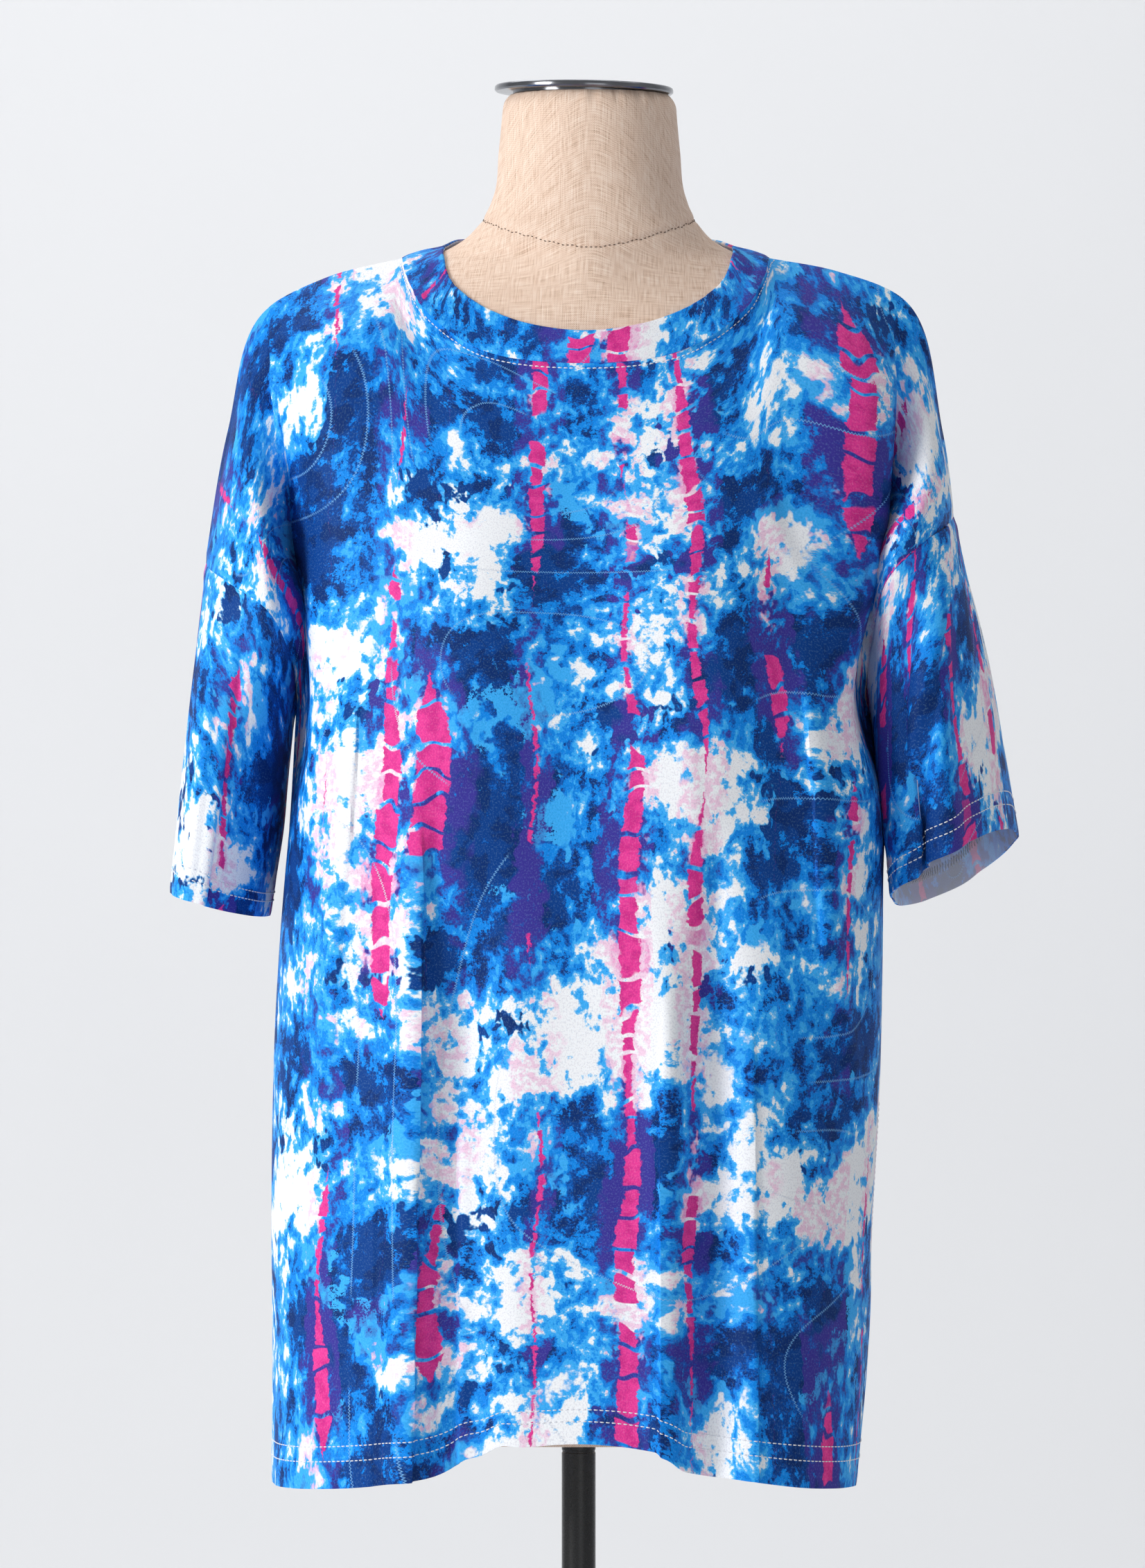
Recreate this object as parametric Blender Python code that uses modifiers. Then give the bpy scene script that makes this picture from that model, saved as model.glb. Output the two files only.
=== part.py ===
"""A loose t-shirt with dropped shoulders, worn on a limbless dress form on a pole.

Metres, +Z up. The garment's front faces -Y and its own left side is +X. The origin is the middle of the
stand's underside. Each cut piece of the shirt is one thin wall, lofted through short tables of sections.
"""

import math
from collections import namedtuple

import bmesh
import bpy
import numpy as np
from mathutils import Vector
from mathutils.bvhtree import BVHTree

# Stand and dress form
TOTAL_HEIGHT = 1.55
CAP_RADIUS = 0.058
CAP_THICKNESS = 0.0085
CAP_RIM = 0.0012
TOUCHING_GAP = 0.0003
NECK_TOP = TOTAL_HEIGHT - CAP_THICKNESS - TOUCHING_GAP
NECK_MIDDLE = 0.007  # the form's neck stands a little to the garment's left of its pole
TORSO_BOTTOM = 0.671
POLE_RADIUS = 0.011
BASE_RADIUS = 0.18
BASE_THICKNESS = 0.012
BASE_BEVEL = 0.003
HUB_RADIUS = 0.024
HUB_HEIGHT = 0.045

# Cloth
CLOTH_WALL = 0.0016
BAND_WALL = 0.0026
SEAM_GAP = 0.00045
FORM_CLEARANCE = 0.0008
CLEARING_ROUNDS = 4
COLLAR_CLEARANCE = BAND_WALL + 4 * SEAM_GAP
BACK_DEPTH = 0.92  # of the front's depth, in the folds at the arms

FORM_AROUND = 36
RING_EASING = 3  # rounds that ease a section's pointed ends
SLEEVE_DOWN = 9
BAND_ACROSS = 3


def table(columns, *rows):
    """Rows with named columns."""
    row_type = namedtuple("Row", columns)
    return [row_type(*row) for row in rows]


# Horizontal sections of the torso and neck, from the bottom up.
FORM_SECTIONS = table(
    "height half_width front back squareness middle",
    (TORSO_BOTTOM, 0.156, 0.096, 0.101, 2.2, 0.0),
    (0.700, 0.163, 0.101, 0.108, 2.2, 0.0),
    (0.760, 0.170, 0.106, 0.114, 2.2, 0.0),
    (0.820, 0.172, 0.107, 0.116, 2.2, 0.0),
    (0.900, 0.157, 0.100, 0.103, 2.2, 0.0),
    (0.980, 0.130, 0.090, 0.086, 2.2, 0.0),
    (1.020, 0.124, 0.088, 0.081, 2.2, 0.0),
    (1.080, 0.134, 0.100, 0.086, 2.2, 0.0),
    (1.130, 0.145, 0.118, 0.092, 2.2, 0.0),
    (1.170, 0.152, 0.126, 0.096, 2.2, 0.0),
    (1.220, 0.158, 0.119, 0.100, 2.2, 0.0),
    (1.280, 0.166, 0.106, 0.102, 2.2, 0.001),
    (1.330, 0.174, 0.092, 0.097, 2.1, 0.002),
    (1.365, 0.181, 0.078, 0.087, 1.9, 0.003),
    (1.390, 0.181, 0.069, 0.077, 1.65, 0.004),
    (1.406, 0.173, 0.063, 0.070, 1.45, 0.0045),
    (1.418, 0.152, 0.058, 0.065, 1.25, 0.005),
    (1.428, 0.127, 0.0565, 0.0605, 1.25, 0.0055),
    (1.436, 0.103, 0.055, 0.058, 1.35, 0.006),
    (1.445, 0.084, 0.054, 0.056, 1.65, 0.006),
    (1.456, 0.072, 0.053, 0.055, 1.9, 0.0065),
    (1.475, 0.0625, 0.053, 0.055, 2.0, 0.007),
    (1.505, 0.0588, 0.053, 0.054, 2.0, NECK_MIDDLE),
    (NECK_TOP, 0.0555, 0.0535, 0.0535, 2.0, NECK_MIDDLE),
)

# Distance down the cloth of each row of the panels' tables, from the shoulder and neckline to the hem.
ROW_DOWN = (0.0, 0.045, 0.10, 0.165, 0.225, 0.27, 0.37, 0.49, 0.62, 0.70, 0.755)
ARMHOLE_END = 5  # the row of the underarm point
SLIT_TOP = 8
ROWS_BETWEEN = (3, 3, 3, 2, 2, 3, 4, 3, 2, 2)  # steps of the loft between the tables' rows

# Distance across the cloth of each column, from the side seam to the centre.
SIDE_COLUMNS = "seam arm valley flank"
MIDDLE_COLUMNS = "collar neck breast centre"
COLUMN_ACROSS = (0.0, 0.045, 0.085, 0.125, 0.165, 0.193, 0.226, 0.305)
COLLAR = 4  # the column where the shoulder seam meets the neckband
FRONT_STEPS = (3, 3, 2, 3, 2, 3, 4)  # steps of the loft between columns
BACK_STEPS = (3, 3, 2, 3, 2, 2, 3)

# Points of the front beside each arm, as (outward, forward, up). The first row is the shoulder seam, which
# hangs past the form's shoulder, and the first five rows' seam points are the front half of the armhole.
RIGHT_SIDE = table(
    SIDE_COLUMNS,
    ((0.2420, -0.006, 1.238), (0.2275, -0.005, 1.325), (0.2035, -0.004, 1.4015), (0.165, -0.003, 1.4225)),
    ((0.2385, 0.030, 1.233), (0.2230, 0.040, 1.300), (0.1990, 0.020, 1.366), (0.168, 0.043, 1.382)),
    ((0.2230, 0.070, 1.222), (0.2085, 0.074, 1.272), (0.1895, 0.030, 1.315), (0.168, 0.072, 1.320)),
    ((0.2000, 0.084, 1.206), (0.1950, 0.078, 1.246), (0.1840, 0.024, 1.250), (0.166, 0.084, 1.252)),
    ((0.1865, 0.056, 1.180), (0.1790, 0.042, 1.203), (0.1765, 0.022, 1.200), (0.166, 0.088, 1.196)),
    ((0.1830, 0.000, 1.150), (0.1760, 0.032, 1.150), (0.1725, 0.058, 1.150), (0.166, 0.090, 1.150)),
    ((0.1870, 0.000, 1.060), (0.1860, 0.036, 1.060), (0.1815, 0.067, 1.058), (0.168, 0.095, 1.056)),
    ((0.1955, 0.000, 0.935), (0.1945, 0.035, 0.935), (0.1870, 0.070, 0.933), (0.169, 0.099, 0.931)),
    ((0.1975, 0.000, 0.800), (0.1965, 0.036, 0.800), (0.1890, 0.072, 0.800), (0.170, 0.101, 0.799)),
    ((0.1970, 0.005, 0.718), (0.1955, 0.040, 0.718), (0.1880, 0.075, 0.717), (0.170, 0.103, 0.717)),
    ((0.1975, 0.008, 0.645), (0.1960, 0.043, 0.644), (0.1890, 0.077, 0.644), (0.171, 0.104, 0.645)),
)
LEFT_SIDE = table(
    SIDE_COLUMNS,
    ((0.2437, -0.010, 1.268), (0.2360, -0.008, 1.325), (0.2105, -0.006, 1.4095), (0.168, -0.004, 1.4270)),
    ((0.2385, 0.030, 1.262), (0.2315, 0.040, 1.305), (0.2075, 0.014, 1.366), (0.184, 0.046, 1.375)),
    ((0.2215, 0.070, 1.249), (0.2180, 0.072, 1.277), (0.2015, 0.014, 1.315), (0.186, 0.068, 1.318)),
    ((0.1985, 0.078, 1.226), (0.1988, 0.065, 1.253), (0.1935, 0.010, 1.250), (0.183, 0.078, 1.250)),
    ((0.1895, 0.052, 1.190), (0.1840, 0.036, 1.206), (0.1820, 0.010, 1.202), (0.177, 0.084, 1.197)),
    ((0.1855, 0.000, 1.150), (0.1785, 0.032, 1.150), (0.1760, 0.058, 1.150), (0.170, 0.092, 1.150)),
    ((0.1940, 0.000, 1.060), (0.1930, 0.036, 1.060), (0.1880, 0.067, 1.058), (0.172, 0.096, 1.056)),
    ((0.1955, 0.000, 0.935), (0.1945, 0.035, 0.935), (0.1875, 0.070, 0.933), (0.170, 0.099, 0.931)),
    ((0.1880, 0.000, 0.800), (0.1880, 0.036, 0.800), (0.1820, 0.070, 0.800), (0.166, 0.100, 0.799)),
    ((0.1850, 0.005, 0.718), (0.1850, 0.040, 0.718), (0.1790, 0.073, 0.717), (0.164, 0.101, 0.717)),
    ((0.1780, 0.008, 0.645), (0.1785, 0.043, 0.644), (0.1740, 0.074, 0.644), (0.162, 0.101, 0.645)),
)
# Points of each panel over the chest or the upper back, as (outward, forward or backward, up).
FRONT_MIDDLE = table(
    MIDDLE_COLUMNS,
    ((0.119, -0.002, 1.4355), (0.104, 0.040, 1.399), (0.064, 0.073, 1.3715), (0.0, 0.085, 1.363)),
    ((0.126, 0.050, 1.392), (0.105, 0.070, 1.362), (0.068, 0.092, 1.339), (0.0, 0.098, 1.330)),
    ((0.128, 0.084, 1.330), (0.106, 0.098, 1.310), (0.073, 0.110, 1.295), (0.0, 0.111, 1.288)),
    ((0.129, 0.104, 1.256), (0.107, 0.117, 1.250), (0.077, 0.128, 1.244), (0.0, 0.124, 1.240)),
    ((0.130, 0.114, 1.200), (0.108, 0.128, 1.199), (0.079, 0.139, 1.198), (0.0, 0.131, 1.196)),
    ((0.131, 0.119, 1.155), (0.109, 0.132, 1.157), (0.080, 0.142, 1.158), (0.0, 0.136, 1.158)),
    ((0.134, 0.124, 1.056), (0.110, 0.136, 1.056), (0.079, 0.146, 1.056), (0.0, 0.142, 1.056)),
    ((0.137, 0.127, 0.930), (0.112, 0.139, 0.930), (0.080, 0.148, 0.930), (0.0, 0.147, 0.930)),
    ((0.138, 0.128, 0.799), (0.113, 0.141, 0.799), (0.081, 0.149, 0.800), (0.0, 0.149, 0.802)),
    ((0.138, 0.129, 0.720), (0.113, 0.142, 0.722), (0.081, 0.149, 0.725), (0.0, 0.149, 0.730)),
    ((0.138, 0.129, 0.648), (0.113, 0.142, 0.652), (0.081, 0.149, 0.657), (0.0, 0.148, 0.667)),
)
BACK_MIDDLE = table(
    MIDDLE_COLUMNS,
    ((0.119, 0.002, 1.4355), (0.101, 0.034, 1.432), (0.058, 0.063, 1.424), (0.0, 0.071, 1.420)),
    ((0.126, 0.052, 1.398), (0.105, 0.073, 1.388), (0.068, 0.088, 1.378), (0.0, 0.094, 1.373)),
    ((0.128, 0.083, 1.335), (0.106, 0.098, 1.328), (0.073, 0.107, 1.320), (0.0, 0.110, 1.317)),
    ((0.129, 0.098, 1.256), (0.107, 0.108, 1.254), (0.077, 0.115, 1.252), (0.0, 0.116, 1.250)),
    ((0.130, 0.102, 1.200), (0.108, 0.112, 1.200), (0.079, 0.117, 1.200), (0.0, 0.118, 1.199)),
    ((0.131, 0.105, 1.152), (0.109, 0.114, 1.152), (0.080, 0.119, 1.152), (0.0, 0.120, 1.152)),
    ((0.134, 0.109, 1.056), (0.110, 0.118, 1.056), (0.079, 0.123, 1.056), (0.0, 0.123, 1.056)),
    ((0.137, 0.114, 0.930), (0.112, 0.122, 0.930), (0.080, 0.127, 0.930), (0.0, 0.128, 0.930)),
    ((0.138, 0.119, 0.799), (0.113, 0.128, 0.799), (0.081, 0.133, 0.800), (0.0, 0.134, 0.801)),
    ((0.138, 0.121, 0.720), (0.113, 0.130, 0.721), (0.081, 0.134, 0.722), (0.0, 0.135, 0.724)),
    ((0.138, 0.121, 0.647), (0.113, 0.130, 0.649), (0.081, 0.134, 0.652), (0.0, 0.136, 0.659)),
)

# How far each of the first rows' collar stands towards the garment's left, as the form's neck does.
COLLAR_LEAN = (0.0045, 0.0036, 0.0018, 0.0005)

# Soft folds that hang from the chest and the shoulder blades: where each begins and ends, as (x, z), how far
# it stands out (or in, below 0) and half its width.
FRONT_FOLDS = table(
    "x_top z_top x_end z_end height half_width",
    (-0.102, 1.150, -0.110, 0.600, 0.0060, 0.012),
    (-0.078, 1.030, -0.071, 0.600, -0.0090, 0.016),
    (-0.136, 1.200, -0.160, 0.900, 0.0050, 0.014),
    (0.054, 1.030, 0.052, 0.600, 0.0050, 0.013),
    (0.086, 1.080, 0.084, 0.600, -0.0080, 0.018),
    (0.140, 1.210, 0.164, 0.900, 0.0050, 0.014),
)
BACK_FOLDS = table(
    "x_top z_top x_end z_end height half_width",
    (-0.118, 1.240, -0.122, 0.600, 0.0060, 0.015),
    (-0.085, 1.160, -0.084, 0.600, -0.0080, 0.018),
    (-0.020, 1.050, -0.012, 0.600, 0.0040, 0.020),
    (0.050, 1.120, 0.046, 0.600, -0.0070, 0.018),
    (0.096, 1.220, 0.102, 0.600, 0.0070, 0.015),
)
HEM_LIFT = 0.010  # the middle of the front's hem rides up over the fold beside it
HEM_LIFT_HALF_WIDTH = 0.058
HEM_LIFT_SOFTNESS = 0.022
HEM_LIFT_HEIGHT = 0.10
FOLD_FADE = 0.09  # length over which a fold rises from nothing at each end

# Plan sections of each sleeve below its armhole: the place down it (1 is the hem), the height of its outer
# and inner side, its middle, half its width from front to back, half its thickness, and its turn.
SLEEVE_COLUMNS = "down outer_z inner_z middle_x middle_y half_width half_thickness turn_degrees"
SLEEVES = {
    "right": table(
        SLEEVE_COLUMNS,
        (0.50, 1.138, 1.078, 0.2215, 0.003, 0.087, 0.0290, -6),
        (1.00, 1.026, 1.008, 0.2320, 0.003, 0.084, 0.0290, -7),
    ),
    "left": table(
        SLEEVE_COLUMNS,
        (0.50, 1.171, 1.084, 0.2310, 0.000, 0.087, 0.0330, 12),
        (1.00, 1.065, 1.015, 0.2450, 0.004, 0.085, 0.0350, 17),
    ),
}

# Folds down the sleeves: where each runs round the sleeve (0 is its outer side, 90 its front and 180 the
# underarm), how far it stands out and half its width in degrees, and where down the sleeve it begins.
SLEEVE_FOLDS = {
    "right": table(
        "degrees height half_width begins",
        (62, 0.0035, 16, 0.0),
        (118, -0.0050, 18, 0.1),
        (250, 0.0040, 18, 0.1),
    ),
    "left": table(
        "degrees height half_width begins",
        (66, 0.0070, 13, 0.0),
        (94, -0.0110, 15, 0.1),
        (240, -0.0050, 18, 0.1),
    ),
}
SLEEVE_FOLD_FADE = 0.4  # of the sleeve's length, over which a fold rises

# The neckband's free edge, from the garment's side of the neck to its centre, as (outward, forward, up).
BAND_EDGE = table(
    "front_side front_turn front_centre back_side back_turn back_centre",
    ((0.0935, -0.002, 1.4425), (0.083, 0.038, 1.4115), (0.0, 0.0760, 1.3845), (0.0935, -0.002, 1.4425),
     (0.080, -0.040, 1.4500), (0.0, -0.0620, 1.4440)),
)
BAND_LEAN = (0.0065, 0.0050, 0.0)  # how far its side, turn and centre stand towards the garment's left


def spline(knots, values, at):
    """Smooth curve through values, one for each knot, read at the places given."""
    knots = np.asarray(knots, float)
    values = np.asarray(values, float)
    at = np.asarray(at, float)
    lengths = np.diff(knots)
    wide = (-1,) + (1,) * (values.ndim - 1)
    chords = np.diff(values, axis=0) / lengths.reshape(wide)
    slopes = np.concatenate([chords[:1], chords[:1], chords[1:]])[: len(values)]
    slopes[-1] = chords[-1]
    if len(values) > 2:
        before = lengths[:-1].reshape(wide)
        after = lengths[1:].reshape(wide)
        slopes[1:-1] = (chords[:-1] * after + chords[1:] * before) / (before + after)
    i = np.clip(np.searchsorted(knots, at, side="right") - 1, 0, len(lengths) - 1)
    step = lengths[i].reshape(wide)
    t = ((at - knots[i]) / lengths[i]).reshape(wide)
    start = values[i] * (1 + 2 * t) * (1 - t) ** 2 + slopes[i] * step * t * (1 - t) ** 2
    return start + values[i + 1] * t**2 * (3 - 2 * t) + slopes[i + 1] * step * t**2 * (t - 1)


def curve_through(knots, points, at):
    """An edge through its points, evened out by their distances. Both knots and at run along the grid."""
    spans = np.linalg.norm(np.diff(points, axis=0), axis=-1)
    travelled = np.concatenate([[0.0], np.cumsum(spans)])
    return spline(travelled, points, np.interp(at, knots, travelled))


def smoothstep(x):
    x = np.clip(x, 0.0, 1.0)
    return x * x * (3 - 2 * x)


def between(knots, steps):
    """Places along the knots, with the given number of steps between each two."""
    parts = [np.linspace(a, b, n, endpoint=False) for a, b, n in zip(knots[:-1], knots[1:], steps)]
    return np.concatenate(parts + [[knots[-1]]])


def ellipse_ring(half_width, front, back, squareness, around):
    """Points of a rounded section, from its +X end, with the front at -Y. A pointed one's ends are eased."""
    angle = np.arange(around) * math.tau / around
    round_x = np.sign(np.cos(angle)) * np.abs(np.cos(angle)) ** (2 / squareness)
    round_y = np.sign(np.sin(angle)) * np.abs(np.sin(angle)) ** (2 / squareness)
    x, y = half_width * round_x, np.where(round_y < 0, front, back) * round_y
    kept = 4 * math.cos(math.pi / around) ** 2  # so that an ellipse keeps its size
    for _ in range(RING_EASING):
        x = (np.roll(x, 1) + 2 * x + np.roll(x, -1)) / kept
        y = (np.roll(y, 1) + 2 * y + np.roll(y, -1)) / kept
    return x, y


def new_material(name, colour, roughness, metallic=0.0):
    material = bpy.data.materials.new(name)
    material.use_nodes = True
    shader = material.node_tree.nodes["Principled BSDF"]
    shader.inputs["Base Color"].default_value = (*colour, 1.0)
    shader.inputs["Roughness"].default_value = roughness
    shader.inputs["Metallic"].default_value = metallic
    return material


def new_object(name, mesh, material, collection):
    obj = bpy.data.objects.new(name, mesh)
    mesh.materials.append(material)
    collection.objects.link(obj)
    return obj


def mesh_of(name, points, faces):
    mesh = bpy.data.meshes.new(name)
    mesh.from_pydata([tuple(point) for point in points], [], faces)
    mesh.update()
    build = bmesh.new()
    build.from_mesh(mesh)
    bmesh.ops.recalc_face_normals(build, faces=build.faces)
    build.to_mesh(mesh)
    build.free()
    mesh.shade_smooth()
    return mesh


def make_torso(material, collection):
    """The neck and torso, one solid lofted through its sections."""
    rings = []
    for section in FORM_SECTIONS:
        x, y = ellipse_ring(section.half_width, section.front, section.back, section.squareness,
                            FORM_AROUND)
        rings.append(np.column_stack([section.middle + x, y, np.full(FORM_AROUND, section.height)]))
    points = np.concatenate(rings)
    faces = [tuple(reversed(range(FORM_AROUND)))]
    for ring in range(len(rings) - 1):
        for i in range(FORM_AROUND):
            j = (i + 1) % FORM_AROUND
            low, high = ring * FORM_AROUND, (ring + 1) * FORM_AROUND
            faces.append((low + i, low + j, high + j, high + i))
    top = (len(rings) - 1) * FORM_AROUND
    faces.append(tuple(range(top, top + FORM_AROUND)))
    mesh = mesh_of("form_torso", points, faces)
    mesh.set_sharp_from_angle(angle=math.radians(50))
    return new_object("form_torso", mesh, material, collection)


def make_turned(name, profile, material, collection, middle=0.0):
    """A turned solid: the profile, as (radius, height), runs down its outer side, from axis to axis."""
    mesh = bpy.data.meshes.new(name)
    mesh.from_pydata([(radius, 0.0, height) for radius, height in profile], [],
                     [(i, i + 1) for i in range(len(profile) - 1)])
    obj = new_object(name, mesh, material, collection)
    obj.location.x = middle
    screw = obj.modifiers.new("Turn", "SCREW")
    screw.steps = 48
    screw.render_steps = 48
    screw.use_merge_vertices = True
    screw.merge_threshold = 0.0001
    screw.use_smooth_shade = True
    screw.use_normal_flip = True
    return obj


def make_stand(cap_metal, pole_paint, base_paint, collection):
    top = TOTAL_HEIGHT
    under = top - CAP_THICKNESS
    make_turned("neck_cap", ((0.0, top), (CAP_RADIUS - CAP_RIM, top), (CAP_RADIUS, top - CAP_RIM),
                             (CAP_RADIUS, under + CAP_RIM), (CAP_RADIUS - CAP_RIM, under), (0.0, under)),
                cap_metal, collection, NECK_MIDDLE)
    hub_top = BASE_THICKNESS + HUB_HEIGHT
    make_turned("stand_base", ((0.0, hub_top), (HUB_RADIUS - BASE_BEVEL, hub_top),
                               (HUB_RADIUS, hub_top - BASE_BEVEL), (HUB_RADIUS, BASE_THICKNESS),
                               (BASE_RADIUS - BASE_BEVEL, BASE_THICKNESS),
                               (BASE_RADIUS, BASE_THICKNESS - BASE_BEVEL), (BASE_RADIUS, 0.0), (0.0, 0.0)),
                base_paint, collection)
    pole_top = TORSO_BOTTOM - TOUCHING_GAP
    pole_foot = hub_top + TOUCHING_GAP
    make_turned("stand_pole", ((0.0, pole_top), (POLE_RADIUS, pole_top), (POLE_RADIUS, pole_foot),
                               (0.0, pole_foot)), pole_paint, collection)


def side_net(rows, sign, facing):
    """The points beside one arm, rows by columns. The shoulder seam is shared, so it keeps its depth."""
    net = np.array([[point for point in row] for row in rows])
    depth = -net[:, :, 1].copy()
    if facing > 0:
        depth[1:] *= -BACK_DEPTH
    return np.stack([sign * net[:, :, 0], depth, net[:, :, 2]], axis=-1)


def middle_net(rows, sign, facing):
    net = np.array([[point for point in row] for row in rows])
    lean = np.zeros(len(rows))
    lean[: len(COLLAR_LEAN)] = COLLAR_LEAN
    net[:, :, 0] += sign * lean[:, None] * net[:, :, 0] / net[0, 0, 0]
    return np.stack([sign * net[:, :, 0], facing * net[:, :, 1], net[:, :, 2]], axis=-1)


def panel_net(middle_rows, facing):
    """Every table point of a panel, from the garment's right side seam to its left one."""
    right = np.concatenate([side_net(RIGHT_SIDE, -1, facing), middle_net(middle_rows, -1, facing)], axis=1)
    left = np.concatenate([side_net(LEFT_SIDE, 1, facing), middle_net(middle_rows, 1, facing)], axis=1)
    return np.concatenate([right, left[:, -2::-1]], axis=1)


def fold_heights(points, folds):
    """How far the cloth stands out at each point, by the folds that pass it."""
    height = np.zeros(points.shape[:-1])
    for fold in folds:
        down = (fold.z_top - points[..., 2]) / (fold.z_top - fold.z_end)
        x = fold.x_top + (fold.x_end - fold.x_top) * down
        length = fold.z_top - fold.z_end
        fade = smoothstep(down * length / FOLD_FADE) * smoothstep((1 - down) * length / FOLD_FADE)
        height += fold.height * fade * np.exp(-(((points[..., 0] - x) / fold.half_width) ** 2))
    return height


def hem_lift(points):
    """How far each point of the front rides up."""
    aside = 1 - smoothstep((np.abs(points[..., 0]) - HEM_LIFT_HALF_WIDTH) / HEM_LIFT_SOFTNESS + 0.5)
    low = 1 - smoothstep((points[..., 2] - points[-1:, :, 2]) / HEM_LIFT_HEIGHT)
    return HEM_LIFT * aside * low


def grid_normals(grid, ring=False):
    """Unit normals of a grid of points. They point out where the rows run down and the columns run to +X."""
    down = np.gradient(grid, axis=0)
    if ring:
        across = (np.roll(grid, -1, axis=1) - np.roll(grid, 1, axis=1)) / 2
    else:
        across = np.gradient(grid, axis=1)
    normals = np.cross(down, across)
    return normals / np.maximum(np.linalg.norm(normals, axis=-1, keepdims=True), 1e-9)


def panel_grid(middle_rows, facing, steps, folds):
    """The middle surface of the front or the back."""
    net = panel_net(middle_rows, facing)
    half = np.array(COLUMN_ACROSS)
    across_knots = np.concatenate([half, 2 * half[-1] - half[-2::-1]])
    across = between(across_knots, steps + steps[::-1])
    down = between(ROW_DOWN, ROWS_BETWEEN)
    loft = spline(ROW_DOWN, net, down)
    grid = spline(across_knots, loft.transpose(1, 0, 2), across).transpose(1, 0, 2)

    # The top edge turns a corner where the shoulder seam meets the neckband, so it is three curves.
    corners = (0, COLLAR, len(across_knots) - 1 - COLLAR, len(across_knots) - 1)
    top = np.concatenate([
        curve_through(across_knots[a : b + 1], net[0, a : b + 1],
                      across[(across >= across_knots[a]) & ((across < across_knots[b]) | (b == corners[-1]))])
        for a, b in zip(corners[:-1], corners[1:])
    ])
    fade = 1 - smoothstep(down / ROW_DOWN[2])
    grid += fade[:, None, None] * (top - grid[0])[None]
    # The side edge turns one at the underarm point.
    turns = (0, ARMHOLE_END, SLIT_TOP, len(ROW_DOWN) - 1)
    for column in (0, -1):
        edge = np.concatenate([
            curve_through(ROW_DOWN[a : b + 1], net[a : b + 1, column],
                          down[(down >= ROW_DOWN[a]) & ((down < ROW_DOWN[b]) | (b == turns[-1]))])
            for a, b in zip(turns[:-1], turns[1:])
        ])
        from_edge = across if column == 0 else across[-1] - across
        fade = 1 - smoothstep(from_edge / COLUMN_ACROSS[1])
        grid += fade[None, :, None] * (edge - grid[:, column])[:, None]

    if facing < 0:
        grid[..., 2] += hem_lift(grid)
    normals = grid_normals(grid) * -facing
    edge_fade = smoothstep(np.minimum(across, across[-1] - across) / COLUMN_ACROSS[3])
    return grid + normals * (fold_heights(grid, folds) * edge_fade[None])[..., None]


def sleeve_section(section, sign, around):
    """One plan section of a sleeve, from its outer side round its front to the underarm and back."""
    angle = np.arange(around) * math.tau / around
    thick = section.half_thickness * np.cos(angle)
    wide = section.half_width * -np.sin(angle)
    turn = math.radians(section.turn_degrees)
    x = section.middle_x + thick * math.cos(turn) + wide * math.sin(turn)
    y = section.middle_y + wide * math.cos(turn) - thick * math.sin(turn)
    height = section.outer_z + (section.inner_z - section.outer_z) * (1 - np.cos(angle)) / 2
    return np.column_stack([sign * x, y, height])


def sleeve_grid(side, front, back):
    """A sleeve's middle surface: rows from the armhole to the hem, columns round it."""
    sign = 1 if side == "left" else -1
    column = -1 if side == "left" else 0
    rows = sum(ROWS_BETWEEN[:ARMHOLE_END])
    armhole = np.concatenate([front[: rows + 1, column], back[1:rows, column][::-1]])
    sections = SLEEVES[side]
    net = np.stack([armhole] + [sleeve_section(section, sign, len(armhole)) for section in sections])
    down = np.linspace(0, 1, SLEEVE_DOWN + 1)
    grid = spline([0.0] + [section.down for section in sections], net, down)
    height = np.zeros(grid.shape[:2])
    degrees = np.arange(len(armhole)) * 360 / len(armhole)
    for fold in SLEEVE_FOLDS[side]:
        apart = (degrees - fold.degrees + 180) % 360 - 180
        grown = smoothstep((down - fold.begins) / SLEEVE_FOLD_FADE)
        height += fold.height * np.outer(grown, np.exp(-((apart / fold.half_width) ** 2)))
    return grid + grid_normals(grid, ring=True) * (-sign * height)[..., None]


def band_grid(front, back):
    """The neckband's middle surface: rows from its seam to its free edge, columns round the neck."""
    count_front = sum(FRONT_STEPS[:COLLAR])
    count_back = sum(BACK_STEPS[:COLLAR])
    seam_front = front[0, count_front:-count_front]
    seam_back = back[0, count_back:-count_back][::-1]
    edge = BAND_EDGE[0]

    def half_ring(side, turn, centre, count):
        points = [(-side[0], side[1], side[2]), (-turn[0], turn[1], turn[2]), centre, turn, side]
        side_lean, turn_lean, centre_lean = BAND_LEAN
        leans = (side_lean, turn_lean, centre_lean, turn_lean, side_lean)
        points = np.array([(x + lean, -forward, up) for (x, forward, up), lean in zip(points, leans)])
        spans = np.linalg.norm(np.diff(points, axis=0), axis=-1)
        return curve_through(np.append(0, np.cumsum(spans)), points, np.linspace(0, spans.sum(), count))

    free_front = half_ring(edge.front_side, edge.front_turn, edge.front_centre, len(seam_front))
    free_back = half_ring(edge.back_side, edge.back_turn, edge.back_centre, len(seam_back))[::-1]
    seam = np.concatenate([seam_front, seam_back[1:-1]])
    free = np.concatenate([free_front, free_back[1:-1]])
    return np.stack([seam + (free - seam) * t for t in np.linspace(0, 1, BAND_ACROSS + 1)])


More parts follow.
